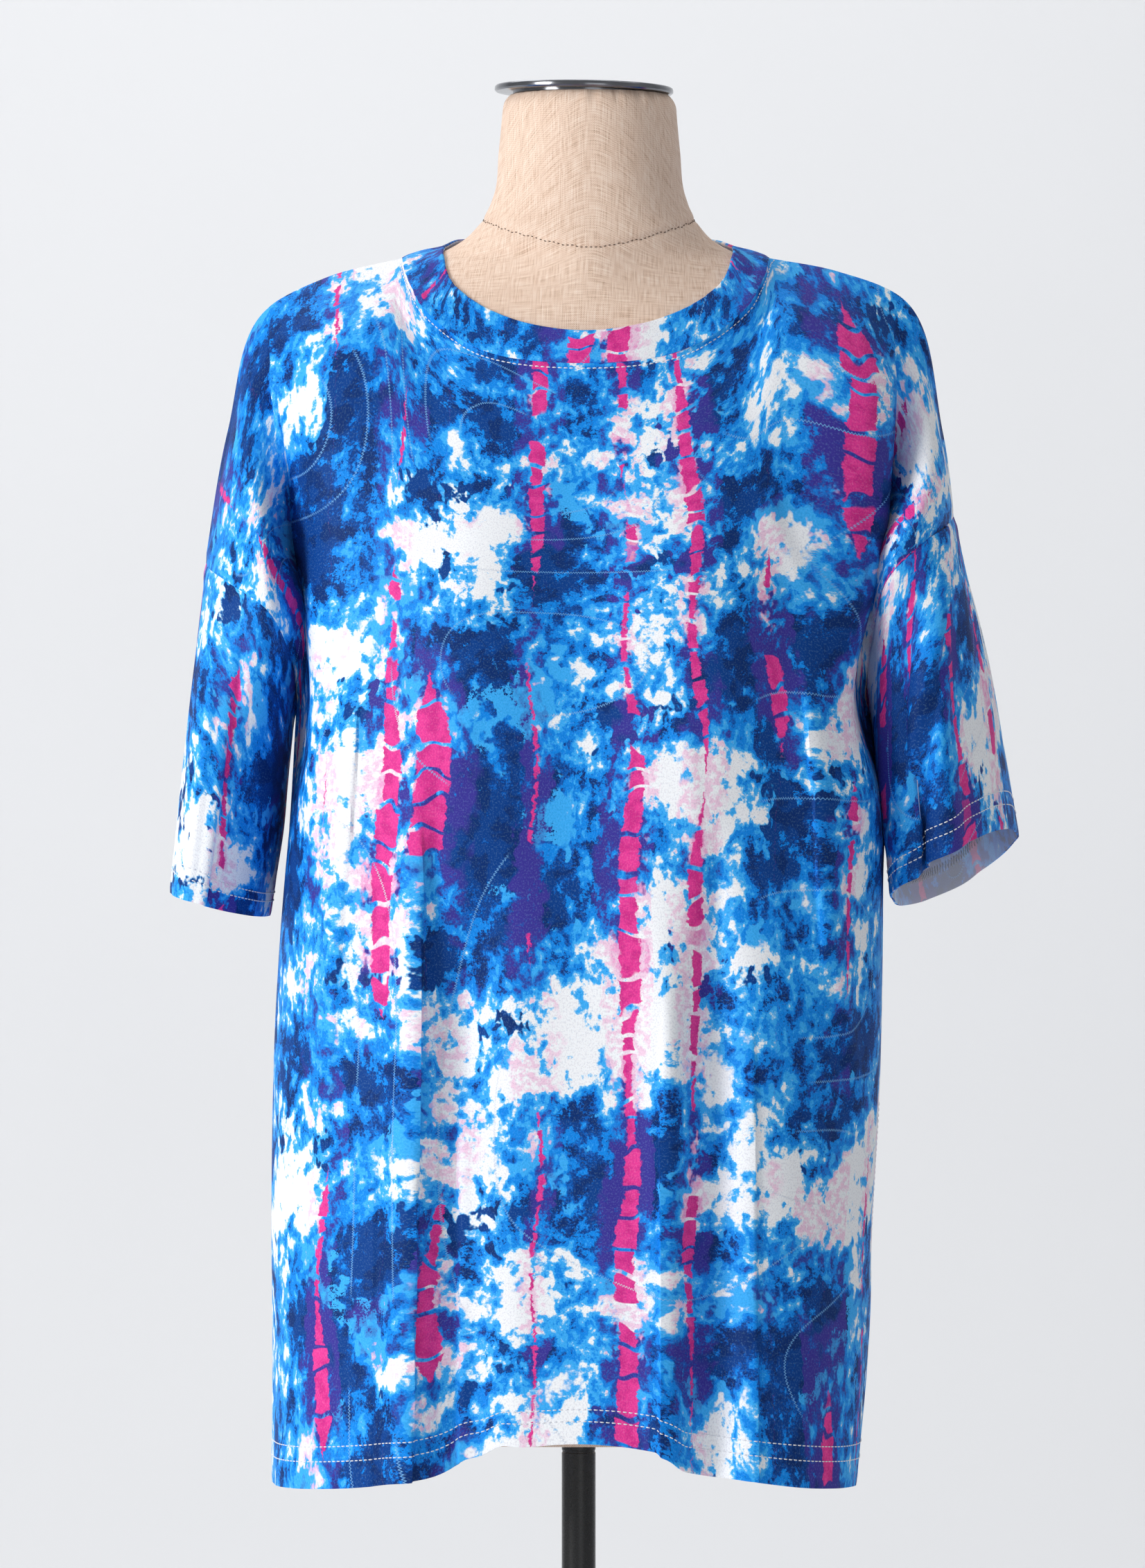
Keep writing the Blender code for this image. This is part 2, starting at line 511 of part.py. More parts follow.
def clear_of_form(grid, form_tree, wall, ring=False):
    """Moves the cloth straight out from the form wherever it is nearer than a wall of cloth can be. A facet's
    middle lies deeper than its corners, so each corner follows the middles beside it too."""
    least = wall / 2 + FORM_CLEARANCE
    columns = grid.shape[1]
    next_column = np.arange(1, columns + 1) % columns if ring else np.arange(1, columns)
    here = np.arange(len(next_column))
    for _ in range(CLEARING_ROUNDS):
        push = np.zeros_like(grid)

        def raise_corners(places, corners):
            for index in np.ndindex(places.shape[:2]):
                place, normal, _, _ = form_tree.find_nearest(Vector(places[index]))
                out = np.array(normal)
                short = least - float(np.dot(places[index] - np.array(place), out))
                if short > 0:
                    for rows, across in corners:
                        corner = (rows[index[0]], across[index[1]])
                        if short > np.linalg.norm(push[corner]):
                            push[corner] = out * short

        row = np.arange(grid.shape[0])
        above, below = row[:-1], row[1:]
        raise_corners(grid, [(row, np.arange(columns))])
        pairs = (grid[:, here] + grid[:, next_column]) / 2
        middles = (pairs[:-1] + pairs[1:]) / 2
        raise_corners(middles, [(above, here), (above, next_column), (below, here), (below, next_column)])
        raise_corners(pairs, [(row, here), (row, next_column)])
        raise_corners((grid[:-1] + grid[1:]) / 2, [(above, np.arange(columns)), (below, np.arange(columns))])
        grid = grid + push
    return grid


Seam = namedtuple("Seam", "points beside")  # where a seam's points are in the grid, and those next to it


def drawn_back(edge, beside, ring):
    """The edge, square to its run and towards its own piece by half the gap of a seam."""
    along = np.roll(edge, -1, axis=0) - np.roll(edge, 1, axis=0) if ring else np.gradient(edge, axis=0)
    along /= np.linalg.norm(along, axis=-1, keepdims=True)
    inward = beside - edge
    inward -= along * np.sum(inward * along, axis=-1, keepdims=True)
    return edge + inward / np.linalg.norm(inward, axis=-1, keepdims=True) * SEAM_GAP / 2


def make_wall(name, grid, normals, wall, ring, seams, material, collection):
    """A closed wall round the middle surface. It stops half a gap short of each seam. It isn't a Solidify
    modifier, because the walls that meet at a seam have to be cut along the same normals."""
    grid = grid.copy()
    for edge in seams:
        grid[edge.points] = drawn_back(grid[edge.points], grid[edge.beside], ring)
    outer = grid + normals * wall / 2
    inner_side = grid - normals * wall / 2
    down, across = grid.shape[:2]
    points = np.concatenate([outer.reshape(-1, 3), inner_side.reshape(-1, 3)])
    inner_start = down * across

    def at(row, column):
        return row * across + column % across

    faces = []
    columns = across if ring else across - 1
    for row in range(down - 1):
        for column in range(columns):
            quad = (at(row, column), at(row + 1, column), at(row + 1, column + 1), at(row, column + 1))
            faces.append(quad)
            faces.append(tuple(inner_start + i for i in reversed(quad)))
    rims = [[at(0, i) for i in range(columns + 1)], [at(down - 1, i) for i in range(columns + 1)]]
    if not ring:
        rims += [[at(i, 0) for i in range(down)], [at(i, across - 1) for i in range(down)]]
    for rim in rims:
        for a, b in zip(rim[:-1], rim[1:]):
            faces.append((a, b, inner_start + b, inner_start + a))
    mesh = mesh_of(name, points, faces)
    mesh.set_sharp_from_angle(angle=math.radians(60))
    return new_object(name, mesh, material, collection)


def share_normals(normal_lists, along=None):
    """The mean of the normals that meet along one seam, kept square to the seam where it is given."""
    mean = np.mean(normal_lists, axis=0)
    if along is not None:
        along = along / np.linalg.norm(along)
        mean = mean - along * np.dot(mean, along)
    return mean / np.linalg.norm(mean, axis=-1, keepdims=True)


def make_shirt(torso, cloth, collection):
    points = [vertex.co for vertex in torso.data.vertices]
    form_tree = BVHTree.FromPolygons(points, [tuple(face.vertices) for face in torso.data.polygons])
    front = clear_of_form(panel_grid(FRONT_MIDDLE, -1, FRONT_STEPS, FRONT_FOLDS), form_tree, CLOTH_WALL)
    back = clear_of_form(panel_grid(BACK_MIDDLE, 1, BACK_STEPS, BACK_FOLDS), form_tree, CLOTH_WALL)

    count = sum(FRONT_STEPS[:COLLAR])
    neck = slice(count, -count)
    for panel in (front, back):
        panel[:1, neck] = clear_of_form(panel[:1, neck], form_tree, COLLAR_CLEARANCE)

    # Seams that two panels share lie at the mean of both.
    shoulder_f = sum(FRONT_STEPS[:COLLAR]) + 1
    armhole_rows = sum(ROWS_BETWEEN[:ARMHOLE_END])
    side_end = sum(ROWS_BETWEEN[:SLIT_TOP])
    for half in (slice(0, shoulder_f), slice(-shoulder_f, None)):
        front[0, half] = back[0, half] = (front[0, half] + back[0, half]) / 2
    sides = slice(armhole_rows, side_end + 1)
    for column in (0, -1):
        front[sides, column] = back[sides, column] = (front[sides, column] + back[sides, column]) / 2

    sleeves = {side: sleeve_grid(side, front, back) for side in SLEEVES}
    band = clear_of_form(band_grid(front, back), form_tree, BAND_WALL, ring=True)
    front_neck_points = front[0, neck].shape[0]
    band[0, :front_neck_points] = front[0, neck]
    band[0, front_neck_points:] = back[0, neck][::-1][1:-1]

    normals_front = grid_normals(front)
    normals_back = -grid_normals(back)
    normals_band = grid_normals(band, ring=True)
    normals_sleeve = {side: grid_normals(grid, ring=True) for side, grid in sleeves.items()}
    normals_sleeve["left"] *= -1
    normals_band *= -1

    # Every seam has one set of normals, so that the walls' ends lie face to face.
    for half in (slice(0, shoulder_f), slice(-shoulder_f, None)):
        shared = share_normals([normals_front[0, half], normals_back[0, half]])
        normals_front[0, half] = normals_back[0, half] = shared
    for column in (0, -1):
        shared = share_normals([normals_front[sides, column], normals_back[sides, column]])
        normals_front[sides, column] = normals_back[sides, column] = shared
    for side, column in (("right", 0), ("left", -1)):
        ring = normals_sleeve[side][0]
        for i in range(len(ring)):
            if i <= armhole_rows:
                others = [normals_front[i, column]]
            else:
                others = [normals_back[len(ring) - i, column]]
            if i in (0, armhole_rows):
                others.append(normals_back[i, column])
            along = sleeves[side][0, (i + 1) % len(ring)] - sleeves[side][0, i - 1]
            shared = share_normals([ring[i], np.mean(others, axis=0)], along)
            ring[i] = shared
            if i <= armhole_rows:
                normals_front[i, column] = shared
            if i in (0, armhole_rows):
                normals_back[i, column] = shared
            elif i > armhole_rows:
                normals_back[len(ring) - i, column] = shared
    for i in range(front_neck_points):
        shared = share_normals([normals_band[0, i], normals_front[0, count + i]])
        normals_band[0, i] = normals_front[0, count + i] = shared
    back_neck = normals_back[0, neck][::-1]
    for i in range(1, len(back_neck) - 1):
        j = front_neck_points + i - 1
        shared = share_normals([normals_band[0, j], back_neck[i]])
        normals_band[0, j] = back_neck[i] = shared
    for i in (0, front_neck_points - 1):
        column = count if i == 0 else -count - 1
        normals_back[0, column] = normals_band[0, i]

    across = slice(None)
    top_seam = Seam((0, across), (1, across))
    to_slit = slice(0, side_end + 1)
    panel_seams = (top_seam, Seam((to_slit, 0), (to_slit, 1)), Seam((to_slit, -1), (to_slit, -2)))
    make_wall("front_panel", front, normals_front, CLOTH_WALL, False, panel_seams, cloth, collection)
    make_wall("back_panel", back, normals_back, CLOTH_WALL, False, panel_seams, cloth, collection)
    for side, grid in sleeves.items():
        make_wall(f"sleeve_{side}", grid, normals_sleeve[side], CLOTH_WALL, True, (top_seam,), cloth,
                  collection)
    make_wall("neckband", band, normals_band, BAND_WALL, True, (top_seam,), cloth, collection)


def main():
    for obj in list(bpy.data.objects):
        bpy.data.objects.remove(obj, do_unlink=True)
    collection = bpy.data.collections.new("t_shirt_on_a_dress_form")
    bpy.context.scene.collection.children.link(collection)
    cloth = new_material("printed_jersey", (0.06, 0.22, 0.62), 0.6)
    linen = new_material("linen", (0.62, 0.48, 0.36), 0.85)
    chrome = new_material("polished_metal", (0.75, 0.75, 0.76), 0.15, 1.0)
    pole_paint = new_material("black_pole", (0.015, 0.015, 0.017), 0.35)
    base_paint = new_material("black_base", (0.02, 0.02, 0.022), 0.45)
    torso = make_torso(linen, collection)
    make_stand(chrome, pole_paint, base_paint, collection)
    make_shirt(torso, cloth, collection)


main()
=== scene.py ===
"""Looks of the loose t-shirt on its dress form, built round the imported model.

Metres, +Z up. The garment's front faces -Y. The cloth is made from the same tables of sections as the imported
solids, on a finer grid, with its creases, hems, seams and stitches.
"""

import math
from collections import namedtuple

import bmesh
import bpy
import numpy as np
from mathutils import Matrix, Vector
from mathutils.bvhtree import BVHTree


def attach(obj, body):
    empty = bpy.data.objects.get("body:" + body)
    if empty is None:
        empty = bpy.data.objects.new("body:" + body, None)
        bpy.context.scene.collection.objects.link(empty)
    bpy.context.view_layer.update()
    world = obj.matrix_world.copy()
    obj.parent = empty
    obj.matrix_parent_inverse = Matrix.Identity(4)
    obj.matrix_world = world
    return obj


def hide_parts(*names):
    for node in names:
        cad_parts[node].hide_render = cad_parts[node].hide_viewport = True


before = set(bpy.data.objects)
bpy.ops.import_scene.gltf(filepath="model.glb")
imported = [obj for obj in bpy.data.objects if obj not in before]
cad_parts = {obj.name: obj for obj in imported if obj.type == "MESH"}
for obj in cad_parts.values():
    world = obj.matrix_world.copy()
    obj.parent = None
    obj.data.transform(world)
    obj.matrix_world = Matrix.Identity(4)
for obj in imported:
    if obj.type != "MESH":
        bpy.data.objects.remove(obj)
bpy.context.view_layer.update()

FINE = 5  # rows of the cloth's grid for each row of the solids' grid
FINE_ACROSS = 8
BASE_ROWS = (3, 3, 3, 2, 2, 3, 4, 3, 2, 2)
SLEEVE_DOWN = 60
BAND_ACROSS = 12
TOTAL_HEIGHT = 1.55
CAP_RADIUS = 0.058
CAP_THICKNESS = 0.0085
TOUCHING_GAP = 0.0003
NECK_TOP = TOTAL_HEIGHT - CAP_THICKNESS - TOUCHING_GAP
NECK_MIDDLE = 0.007  # the form's neck stands a little to the garment's left of its pole
TORSO_BOTTOM = 0.671
POLE_RADIUS = 0.011
BASE_RADIUS = 0.18
BASE_THICKNESS = 0.012
BASE_BEVEL = 0.003
HUB_RADIUS = 0.024
HUB_HEIGHT = 0.045
CLOTH_WALL = 0.0016
BAND_WALL = 0.0026
SEAM_GAP = 0.00045
COLLAR_CLEARANCE = BAND_WALL + 4 * SEAM_GAP
BACK_DEPTH = 0.92  # of the front's depth, in the folds at the arms
RING_EASING = 38
SIGN = {"right": -1, "left": 1}  # of x, on the garment's two sides


def table(columns, *rows):
    """Rows with named columns."""
    row_type = namedtuple("Row", columns)
    return [row_type(*row) for row in rows]


# Horizontal sections of the torso and neck, from the bottom up.
FORM_SECTIONS = table(
    "height half_width front back squareness middle",
    (TORSO_BOTTOM, 0.156, 0.096, 0.101, 2.2, 0.0),
    (0.700, 0.163, 0.101, 0.108, 2.2, 0.0),
    (0.760, 0.170, 0.106, 0.114, 2.2, 0.0),
    (0.820, 0.172, 0.107, 0.116, 2.2, 0.0),
    (0.900, 0.157, 0.100, 0.103, 2.2, 0.0),
    (0.980, 0.130, 0.090, 0.086, 2.2, 0.0),
    (1.020, 0.124, 0.088, 0.081, 2.2, 0.0),
    (1.080, 0.134, 0.100, 0.086, 2.2, 0.0),
    (1.130, 0.145, 0.118, 0.092, 2.2, 0.0),
    (1.170, 0.152, 0.126, 0.096, 2.2, 0.0),
    (1.220, 0.158, 0.119, 0.100, 2.2, 0.0),
    (1.280, 0.166, 0.106, 0.102, 2.2, 0.001),
    (1.330, 0.174, 0.092, 0.097, 2.1, 0.002),
    (1.365, 0.181, 0.078, 0.087, 1.9, 0.003),
    (1.390, 0.181, 0.069, 0.077, 1.65, 0.004),
    (1.406, 0.173, 0.063, 0.070, 1.45, 0.0045),
    (1.418, 0.152, 0.058, 0.065, 1.25, 0.005),
    (1.428, 0.127, 0.0565, 0.0605, 1.25, 0.0055),
    (1.436, 0.103, 0.055, 0.058, 1.35, 0.006),
    (1.445, 0.084, 0.054, 0.056, 1.65, 0.006),
    (1.456, 0.072, 0.053, 0.055, 1.9, 0.0065),
    (1.475, 0.0625, 0.053, 0.055, 2.0, 0.007),
    (1.505, 0.0588, 0.053, 0.054, 2.0, NECK_MIDDLE),
    (NECK_TOP, 0.0555, 0.0535, 0.0535, 2.0, NECK_MIDDLE),
)

# Distance down the cloth of each row of the panels' tables, from the shoulder and neckline to the hem.
ROW_DOWN = (0.0, 0.045, 0.10, 0.165, 0.225, 0.27, 0.37, 0.49, 0.62, 0.70, 0.755)
ARMHOLE_END = 5  # the row of the underarm point
SLIT_TOP = 8
ROWS_BETWEEN = tuple(FINE * n for n in BASE_ROWS)

# Distance across the cloth of each column, from the side seam to the centre.
SIDE_COLUMNS = "seam arm valley flank"
MIDDLE_COLUMNS = "collar neck breast centre"
COLUMN_ACROSS = (0.0, 0.045, 0.085, 0.125, 0.165, 0.193, 0.226, 0.305)
COLLAR = 4  # the column where the shoulder seam meets the neckband
FRONT_STEPS = tuple(FINE_ACROSS * n for n in (3, 3, 2, 3, 2, 3, 4))
BACK_STEPS = tuple(FINE_ACROSS * n for n in (3, 3, 2, 3, 2, 2, 3))

# Points of the front beside each arm, as (outward, forward, up). The first row is the shoulder seam, which
# hangs past the form's shoulder, and the first five rows' seam points are the front half of the armhole.
RIGHT_SIDE = table(
    SIDE_COLUMNS,
    ((0.2420, -0.006, 1.238), (0.2275, -0.005, 1.325), (0.2035, -0.004, 1.4015), (0.165, -0.003, 1.4225)),
    ((0.2385, 0.030, 1.233), (0.2230, 0.040, 1.300), (0.1990, 0.020, 1.366), (0.168, 0.043, 1.382)),
    ((0.2230, 0.070, 1.222), (0.2085, 0.074, 1.272), (0.1895, 0.030, 1.315), (0.168, 0.072, 1.320)),
    ((0.2000, 0.084, 1.206), (0.1950, 0.078, 1.246), (0.1840, 0.024, 1.250), (0.166, 0.084, 1.252)),
    ((0.1865, 0.056, 1.180), (0.1790, 0.042, 1.203), (0.1765, 0.022, 1.200), (0.166, 0.088, 1.196)),
    ((0.1830, 0.000, 1.150), (0.1760, 0.032, 1.150), (0.1725, 0.058, 1.150), (0.166, 0.090, 1.150)),
    ((0.1870, 0.000, 1.060), (0.1860, 0.036, 1.060), (0.1815, 0.067, 1.058), (0.168, 0.095, 1.056)),
    ((0.1955, 0.000, 0.935), (0.1945, 0.035, 0.935), (0.1870, 0.070, 0.933), (0.169, 0.099, 0.931)),
    ((0.1975, 0.000, 0.800), (0.1965, 0.036, 0.800), (0.1890, 0.072, 0.800), (0.170, 0.101, 0.799)),
    ((0.1970, 0.005, 0.718), (0.1955, 0.040, 0.718), (0.1880, 0.075, 0.717), (0.170, 0.103, 0.717)),
    ((0.1975, 0.008, 0.645), (0.1960, 0.043, 0.644), (0.1890, 0.077, 0.644), (0.171, 0.104, 0.645)),
)
LEFT_SIDE = table(
    SIDE_COLUMNS,
    ((0.2437, -0.010, 1.268), (0.2360, -0.008, 1.325), (0.2105, -0.006, 1.4095), (0.168, -0.004, 1.4270)),
    ((0.2385, 0.030, 1.262), (0.2315, 0.040, 1.305), (0.2075, 0.014, 1.366), (0.184, 0.046, 1.375)),
    ((0.2215, 0.070, 1.249), (0.2180, 0.072, 1.277), (0.2015, 0.014, 1.315), (0.186, 0.068, 1.318)),
    ((0.1985, 0.078, 1.226), (0.1988, 0.065, 1.253), (0.1935, 0.010, 1.250), (0.183, 0.078, 1.250)),
    ((0.1895, 0.052, 1.190), (0.1840, 0.036, 1.206), (0.1820, 0.010, 1.202), (0.177, 0.084, 1.197)),
    ((0.1855, 0.000, 1.150), (0.1785, 0.032, 1.150), (0.1760, 0.058, 1.150), (0.170, 0.092, 1.150)),
    ((0.1940, 0.000, 1.060), (0.1930, 0.036, 1.060), (0.1880, 0.067, 1.058), (0.172, 0.096, 1.056)),
    ((0.1955, 0.000, 0.935), (0.1945, 0.035, 0.935), (0.1875, 0.070, 0.933), (0.170, 0.099, 0.931)),
    ((0.1880, 0.000, 0.800), (0.1880, 0.036, 0.800), (0.1820, 0.070, 0.800), (0.166, 0.100, 0.799)),
    ((0.1850, 0.005, 0.718), (0.1850, 0.040, 0.718), (0.1790, 0.073, 0.717), (0.164, 0.101, 0.717)),
    ((0.1780, 0.008, 0.645), (0.1785, 0.043, 0.644), (0.1740, 0.074, 0.644), (0.162, 0.101, 0.645)),
)
# Points of each panel over the chest or the upper back, as (outward, forward or backward, up).
FRONT_MIDDLE = table(
    MIDDLE_COLUMNS,
    ((0.119, -0.002, 1.4355), (0.104, 0.040, 1.399), (0.064, 0.073, 1.3715), (0.0, 0.085, 1.363)),
    ((0.126, 0.050, 1.392), (0.105, 0.070, 1.362), (0.068, 0.092, 1.339), (0.0, 0.098, 1.330)),
    ((0.128, 0.084, 1.330), (0.106, 0.098, 1.310), (0.073, 0.110, 1.295), (0.0, 0.111, 1.288)),
    ((0.129, 0.104, 1.256), (0.107, 0.117, 1.250), (0.077, 0.128, 1.244), (0.0, 0.124, 1.240)),
    ((0.130, 0.114, 1.200), (0.108, 0.128, 1.199), (0.079, 0.139, 1.198), (0.0, 0.131, 1.196)),
    ((0.131, 0.119, 1.155), (0.109, 0.132, 1.157), (0.080, 0.142, 1.158), (0.0, 0.136, 1.158)),
    ((0.134, 0.124, 1.056), (0.110, 0.136, 1.056), (0.079, 0.146, 1.056), (0.0, 0.142, 1.056)),
    ((0.137, 0.127, 0.930), (0.112, 0.139, 0.930), (0.080, 0.148, 0.930), (0.0, 0.147, 0.930)),
    ((0.138, 0.128, 0.799), (0.113, 0.141, 0.799), (0.081, 0.149, 0.800), (0.0, 0.149, 0.802)),
    ((0.138, 0.129, 0.720), (0.113, 0.142, 0.722), (0.081, 0.149, 0.725), (0.0, 0.149, 0.730)),
    ((0.138, 0.129, 0.648), (0.113, 0.142, 0.652), (0.081, 0.149, 0.657), (0.0, 0.148, 0.667)),
)
BACK_MIDDLE = table(
    MIDDLE_COLUMNS,
    ((0.119, 0.002, 1.4355), (0.101, 0.034, 1.432), (0.058, 0.063, 1.424), (0.0, 0.071, 1.420)),
    ((0.126, 0.052, 1.398), (0.105, 0.073, 1.388), (0.068, 0.088, 1.378), (0.0, 0.094, 1.373)),
    ((0.128, 0.083, 1.335), (0.106, 0.098, 1.328), (0.073, 0.107, 1.320), (0.0, 0.110, 1.317)),
    ((0.129, 0.098, 1.256), (0.107, 0.108, 1.254), (0.077, 0.115, 1.252), (0.0, 0.116, 1.250)),
    ((0.130, 0.102, 1.200), (0.108, 0.112, 1.200), (0.079, 0.117, 1.200), (0.0, 0.118, 1.199)),
    ((0.131, 0.105, 1.152), (0.109, 0.114, 1.152), (0.080, 0.119, 1.152), (0.0, 0.120, 1.152)),
    ((0.134, 0.109, 1.056), (0.110, 0.118, 1.056), (0.079, 0.123, 1.056), (0.0, 0.123, 1.056)),
    ((0.137, 0.114, 0.930), (0.112, 0.122, 0.930), (0.080, 0.127, 0.930), (0.0, 0.128, 0.930)),
    ((0.138, 0.119, 0.799), (0.113, 0.128, 0.799), (0.081, 0.133, 0.800), (0.0, 0.134, 0.801)),
    ((0.138, 0.121, 0.720), (0.113, 0.130, 0.721), (0.081, 0.134, 0.722), (0.0, 0.135, 0.724)),
    ((0.138, 0.121, 0.647), (0.113, 0.130, 0.649), (0.081, 0.134, 0.652), (0.0, 0.136, 0.659)),
)

# How far each of the first rows' collar stands towards the garment's left, as the form's neck does.
COLLAR_LEAN = (0.0045, 0.0036, 0.0018, 0.0005)

# Soft folds that hang from the chest and the shoulder blades: where each begins and ends, as (x, z), how far
# it stands out (or in, below 0) and half its width.
FOLD_COLUMNS = "x_top z_top x_end z_end height half_width"
FRONT_FOLDS = table(
    FOLD_COLUMNS,
    (-0.102, 1.150, -0.110, 0.600, 0.0060, 0.012),
    (-0.078, 1.030, -0.071, 0.600, -0.0090, 0.016),
    (-0.136, 1.200, -0.160, 0.900, 0.0050, 0.014),
    (0.054, 1.030, 0.052, 0.600, 0.0050, 0.013),
    (0.086, 1.080, 0.084, 0.600, -0.0080, 0.018),
    (0.140, 1.210, 0.164, 0.900, 0.0050, 0.014),
)
BACK_FOLDS = table(
    FOLD_COLUMNS,
    (-0.118, 1.240, -0.122, 0.600, 0.0060, 0.015),
    (-0.085, 1.160, -0.084, 0.600, -0.0080, 0.018),
    (-0.020, 1.050, -0.012, 0.600, 0.0040, 0.020),
    (0.050, 1.120, 0.046, 0.600, -0.0070, 0.018),
    (0.096, 1.220, 0.102, 0.600, 0.0070, 0.015),
)
HEM_LIFT = 0.010  # the middle of the front's hem rides up over the fold beside it
HEM_LIFT_HALF_WIDTH = 0.058
HEM_LIFT_SOFTNESS = 0.022
HEM_LIFT_HEIGHT = 0.10
FOLD_FADE = 0.09  # length over which a fold rises from nothing at each end

# Plan sections of each sleeve below its armhole: the place down it (1 is the hem), the height of its outer
# and inner side, its middle, half its width from front to back, half its thickness, and its turn.
SLEEVE_COLUMNS = "down outer_z inner_z middle_x middle_y half_width half_thickness turn_degrees"
SLEEVES = {
    "right": table(
        SLEEVE_COLUMNS,
        (0.50, 1.138, 1.078, 0.2215, 0.003, 0.087, 0.0290, -6),
        (1.00, 1.026, 1.008, 0.2320, 0.003, 0.084, 0.0290, -7),
    ),
    "left": table(
        SLEEVE_COLUMNS,
        (0.50, 1.171, 1.084, 0.2310, 0.000, 0.087, 0.0330, 12),
        (1.00, 1.065, 1.015, 0.2450, 0.004, 0.085, 0.0350, 17),
    ),
}

# Folds down the sleeves: where each runs round the sleeve (0 is its outer side, 90 its front and 180 the
# underarm), how far it stands out and half its width in degrees, and where down the sleeve it begins.
SLEEVE_FOLD_COLUMNS = "degrees height half_width begins"
SLEEVE_FOLDS = {
    "right": table(
        SLEEVE_FOLD_COLUMNS,
        (62, 0.0035, 16, 0.0),
        (118, -0.0050, 18, 0.1),
        (250, 0.0040, 18, 0.1),
    ),
    "left": table(
        SLEEVE_FOLD_COLUMNS,
        (66, 0.0070, 13, 0.0),
        (94, -0.0110, 15, 0.1),
        (240, -0.0050, 18, 0.1),
    ),
}
SLEEVE_FOLD_FADE = 0.4  # of the sleeve's length, over which a fold rises

# The neckband's free edge, from the garment's side of the neck to its centre, as (outward, forward, up).
BAND_EDGE = table(
    "front_side front_turn front_centre back_side back_turn back_centre",
    ((0.0935, -0.002, 1.4425), (0.083, 0.038, 1.4115), (0.0, 0.0760, 1.3845), (0.0935, -0.002, 1.4425),
     (0.080, -0.040, 1.4500), (0.0, -0.0620, 1.4440)),
)
BAND_LEAN = (0.0065, 0.0050, 0.0)  # how far its side, turn and centre stand towards the garment's left


def spline(knots, values, at):
    """Smooth curve through values, one for each knot, read at the places given."""
    knots = np.asarray(knots, float)
    values = np.asarray(values, float)
    at = np.asarray(at, float)
    lengths = np.diff(knots)
    wide = (-1,) + (1,) * (values.ndim - 1)
    chords = np.diff(values, axis=0) / lengths.reshape(wide)
    slopes = np.concatenate([chords[:1], chords[:1], chords[1:]])[: len(values)]
    slopes[-1] = chords[-1]
    if len(values) > 2:
        before = lengths[:-1].reshape(wide)
        after = lengths[1:].reshape(wide)
        slopes[1:-1] = (chords[:-1] * after + chords[1:] * before) / (before + after)
    i = np.clip(np.searchsorted(knots, at, side="right") - 1, 0, len(lengths) - 1)
    step = lengths[i].reshape(wide)
    t = ((at - knots[i]) / lengths[i]).reshape(wide)
    start = values[i] * (1 + 2 * t) * (1 - t) ** 2 + slopes[i] * step * t * (1 - t) ** 2
    return start + values[i + 1] * t**2 * (3 - 2 * t) + slopes[i + 1] * step * t**2 * (t - 1)


def curve_through(knots, points, at):
    """An edge through its points, evened out by their distances. Both knots and at run along the grid."""
    travelled = run_along(points)
    return spline(travelled, points, np.interp(at, knots, travelled))


def edge_curves(knots, points, at, corners):
    """An edge that turns at its corners: one curve from each of these knots to the next."""
    pieces = []
    for a, b in zip(corners[:-1], corners[1:]):
        here = (at >= knots[a]) & ((at < knots[b]) | (b == corners[-1]))
        pieces.append(curve_through(knots[a : b + 1], points[a : b + 1], at[here]))
    return np.concatenate(pieces)


def run_along(points, axis=0):
    """The distance along a line, or along each line of a grid, from its first point to every point."""
    spans = np.linalg.norm(np.diff(points, axis=axis), axis=-1)
    return np.concatenate([np.zeros_like(spans.take([0], axis)), np.cumsum(spans, axis)], axis=axis)


def smoothstep(x):
    """0 below 0, 1 above 1, smooth between."""
    x = np.clip(x, 0.0, 1.0)
    return x * x * (3 - 2 * x)


def bell(x, width):
    """1 at 0, falling away softly on both sides."""
    return np.exp(-((x / width) ** 2))


def between(knots, steps):
    """Places along the knots, with the given number of steps between each two."""
    parts = [np.linspace(a, b, n, endpoint=False) for a, b, n in zip(knots[:-1], knots[1:], steps)]
    return np.concatenate(parts + [[knots[-1]]])


def ellipse_ring(half_width, front, back, squareness, around):
    """Points of a rounded section, from its +X end, with the front at -Y. A pointed one's ends are eased."""
    angle = np.arange(around) * math.tau / around
    round_x = np.sign(np.cos(angle)) * np.abs(np.cos(angle)) ** (2 / squareness)
    round_y = np.sign(np.sin(angle)) * np.abs(np.sin(angle)) ** (2 / squareness)
    x, y = half_width * round_x, np.where(round_y < 0, front, back) * round_y
    kept = 4 * math.cos(math.pi / around) ** 2  # so that an ellipse keeps its size
    for _ in range(RING_EASING):
        x = (np.roll(x, 1) + 2 * x + np.roll(x, -1)) / kept
        y = (np.roll(y, 1) + 2 * y + np.roll(y, -1)) / kept
    return x, y


def side_net(rows, sign, facing):
    """The points beside one arm, rows by columns. The shoulder seam is shared, so it keeps its depth."""
    net = np.array(rows, float)
    depth = -net[:, :, 1].copy()
    if facing > 0:
        depth[1:] *= -BACK_DEPTH
    return np.stack([sign * net[:, :, 0], depth, net[:, :, 2]], axis=-1)


def middle_net(rows, sign, facing):
    net = np.array(rows, float)
    lean = np.zeros(len(rows))
    lean[: len(COLLAR_LEAN)] = COLLAR_LEAN
    net[:, :, 0] += sign * lean[:, None] * net[:, :, 0] / net[0, 0, 0]
    return np.stack([sign * net[:, :, 0], facing * net[:, :, 1], net[:, :, 2]], axis=-1)


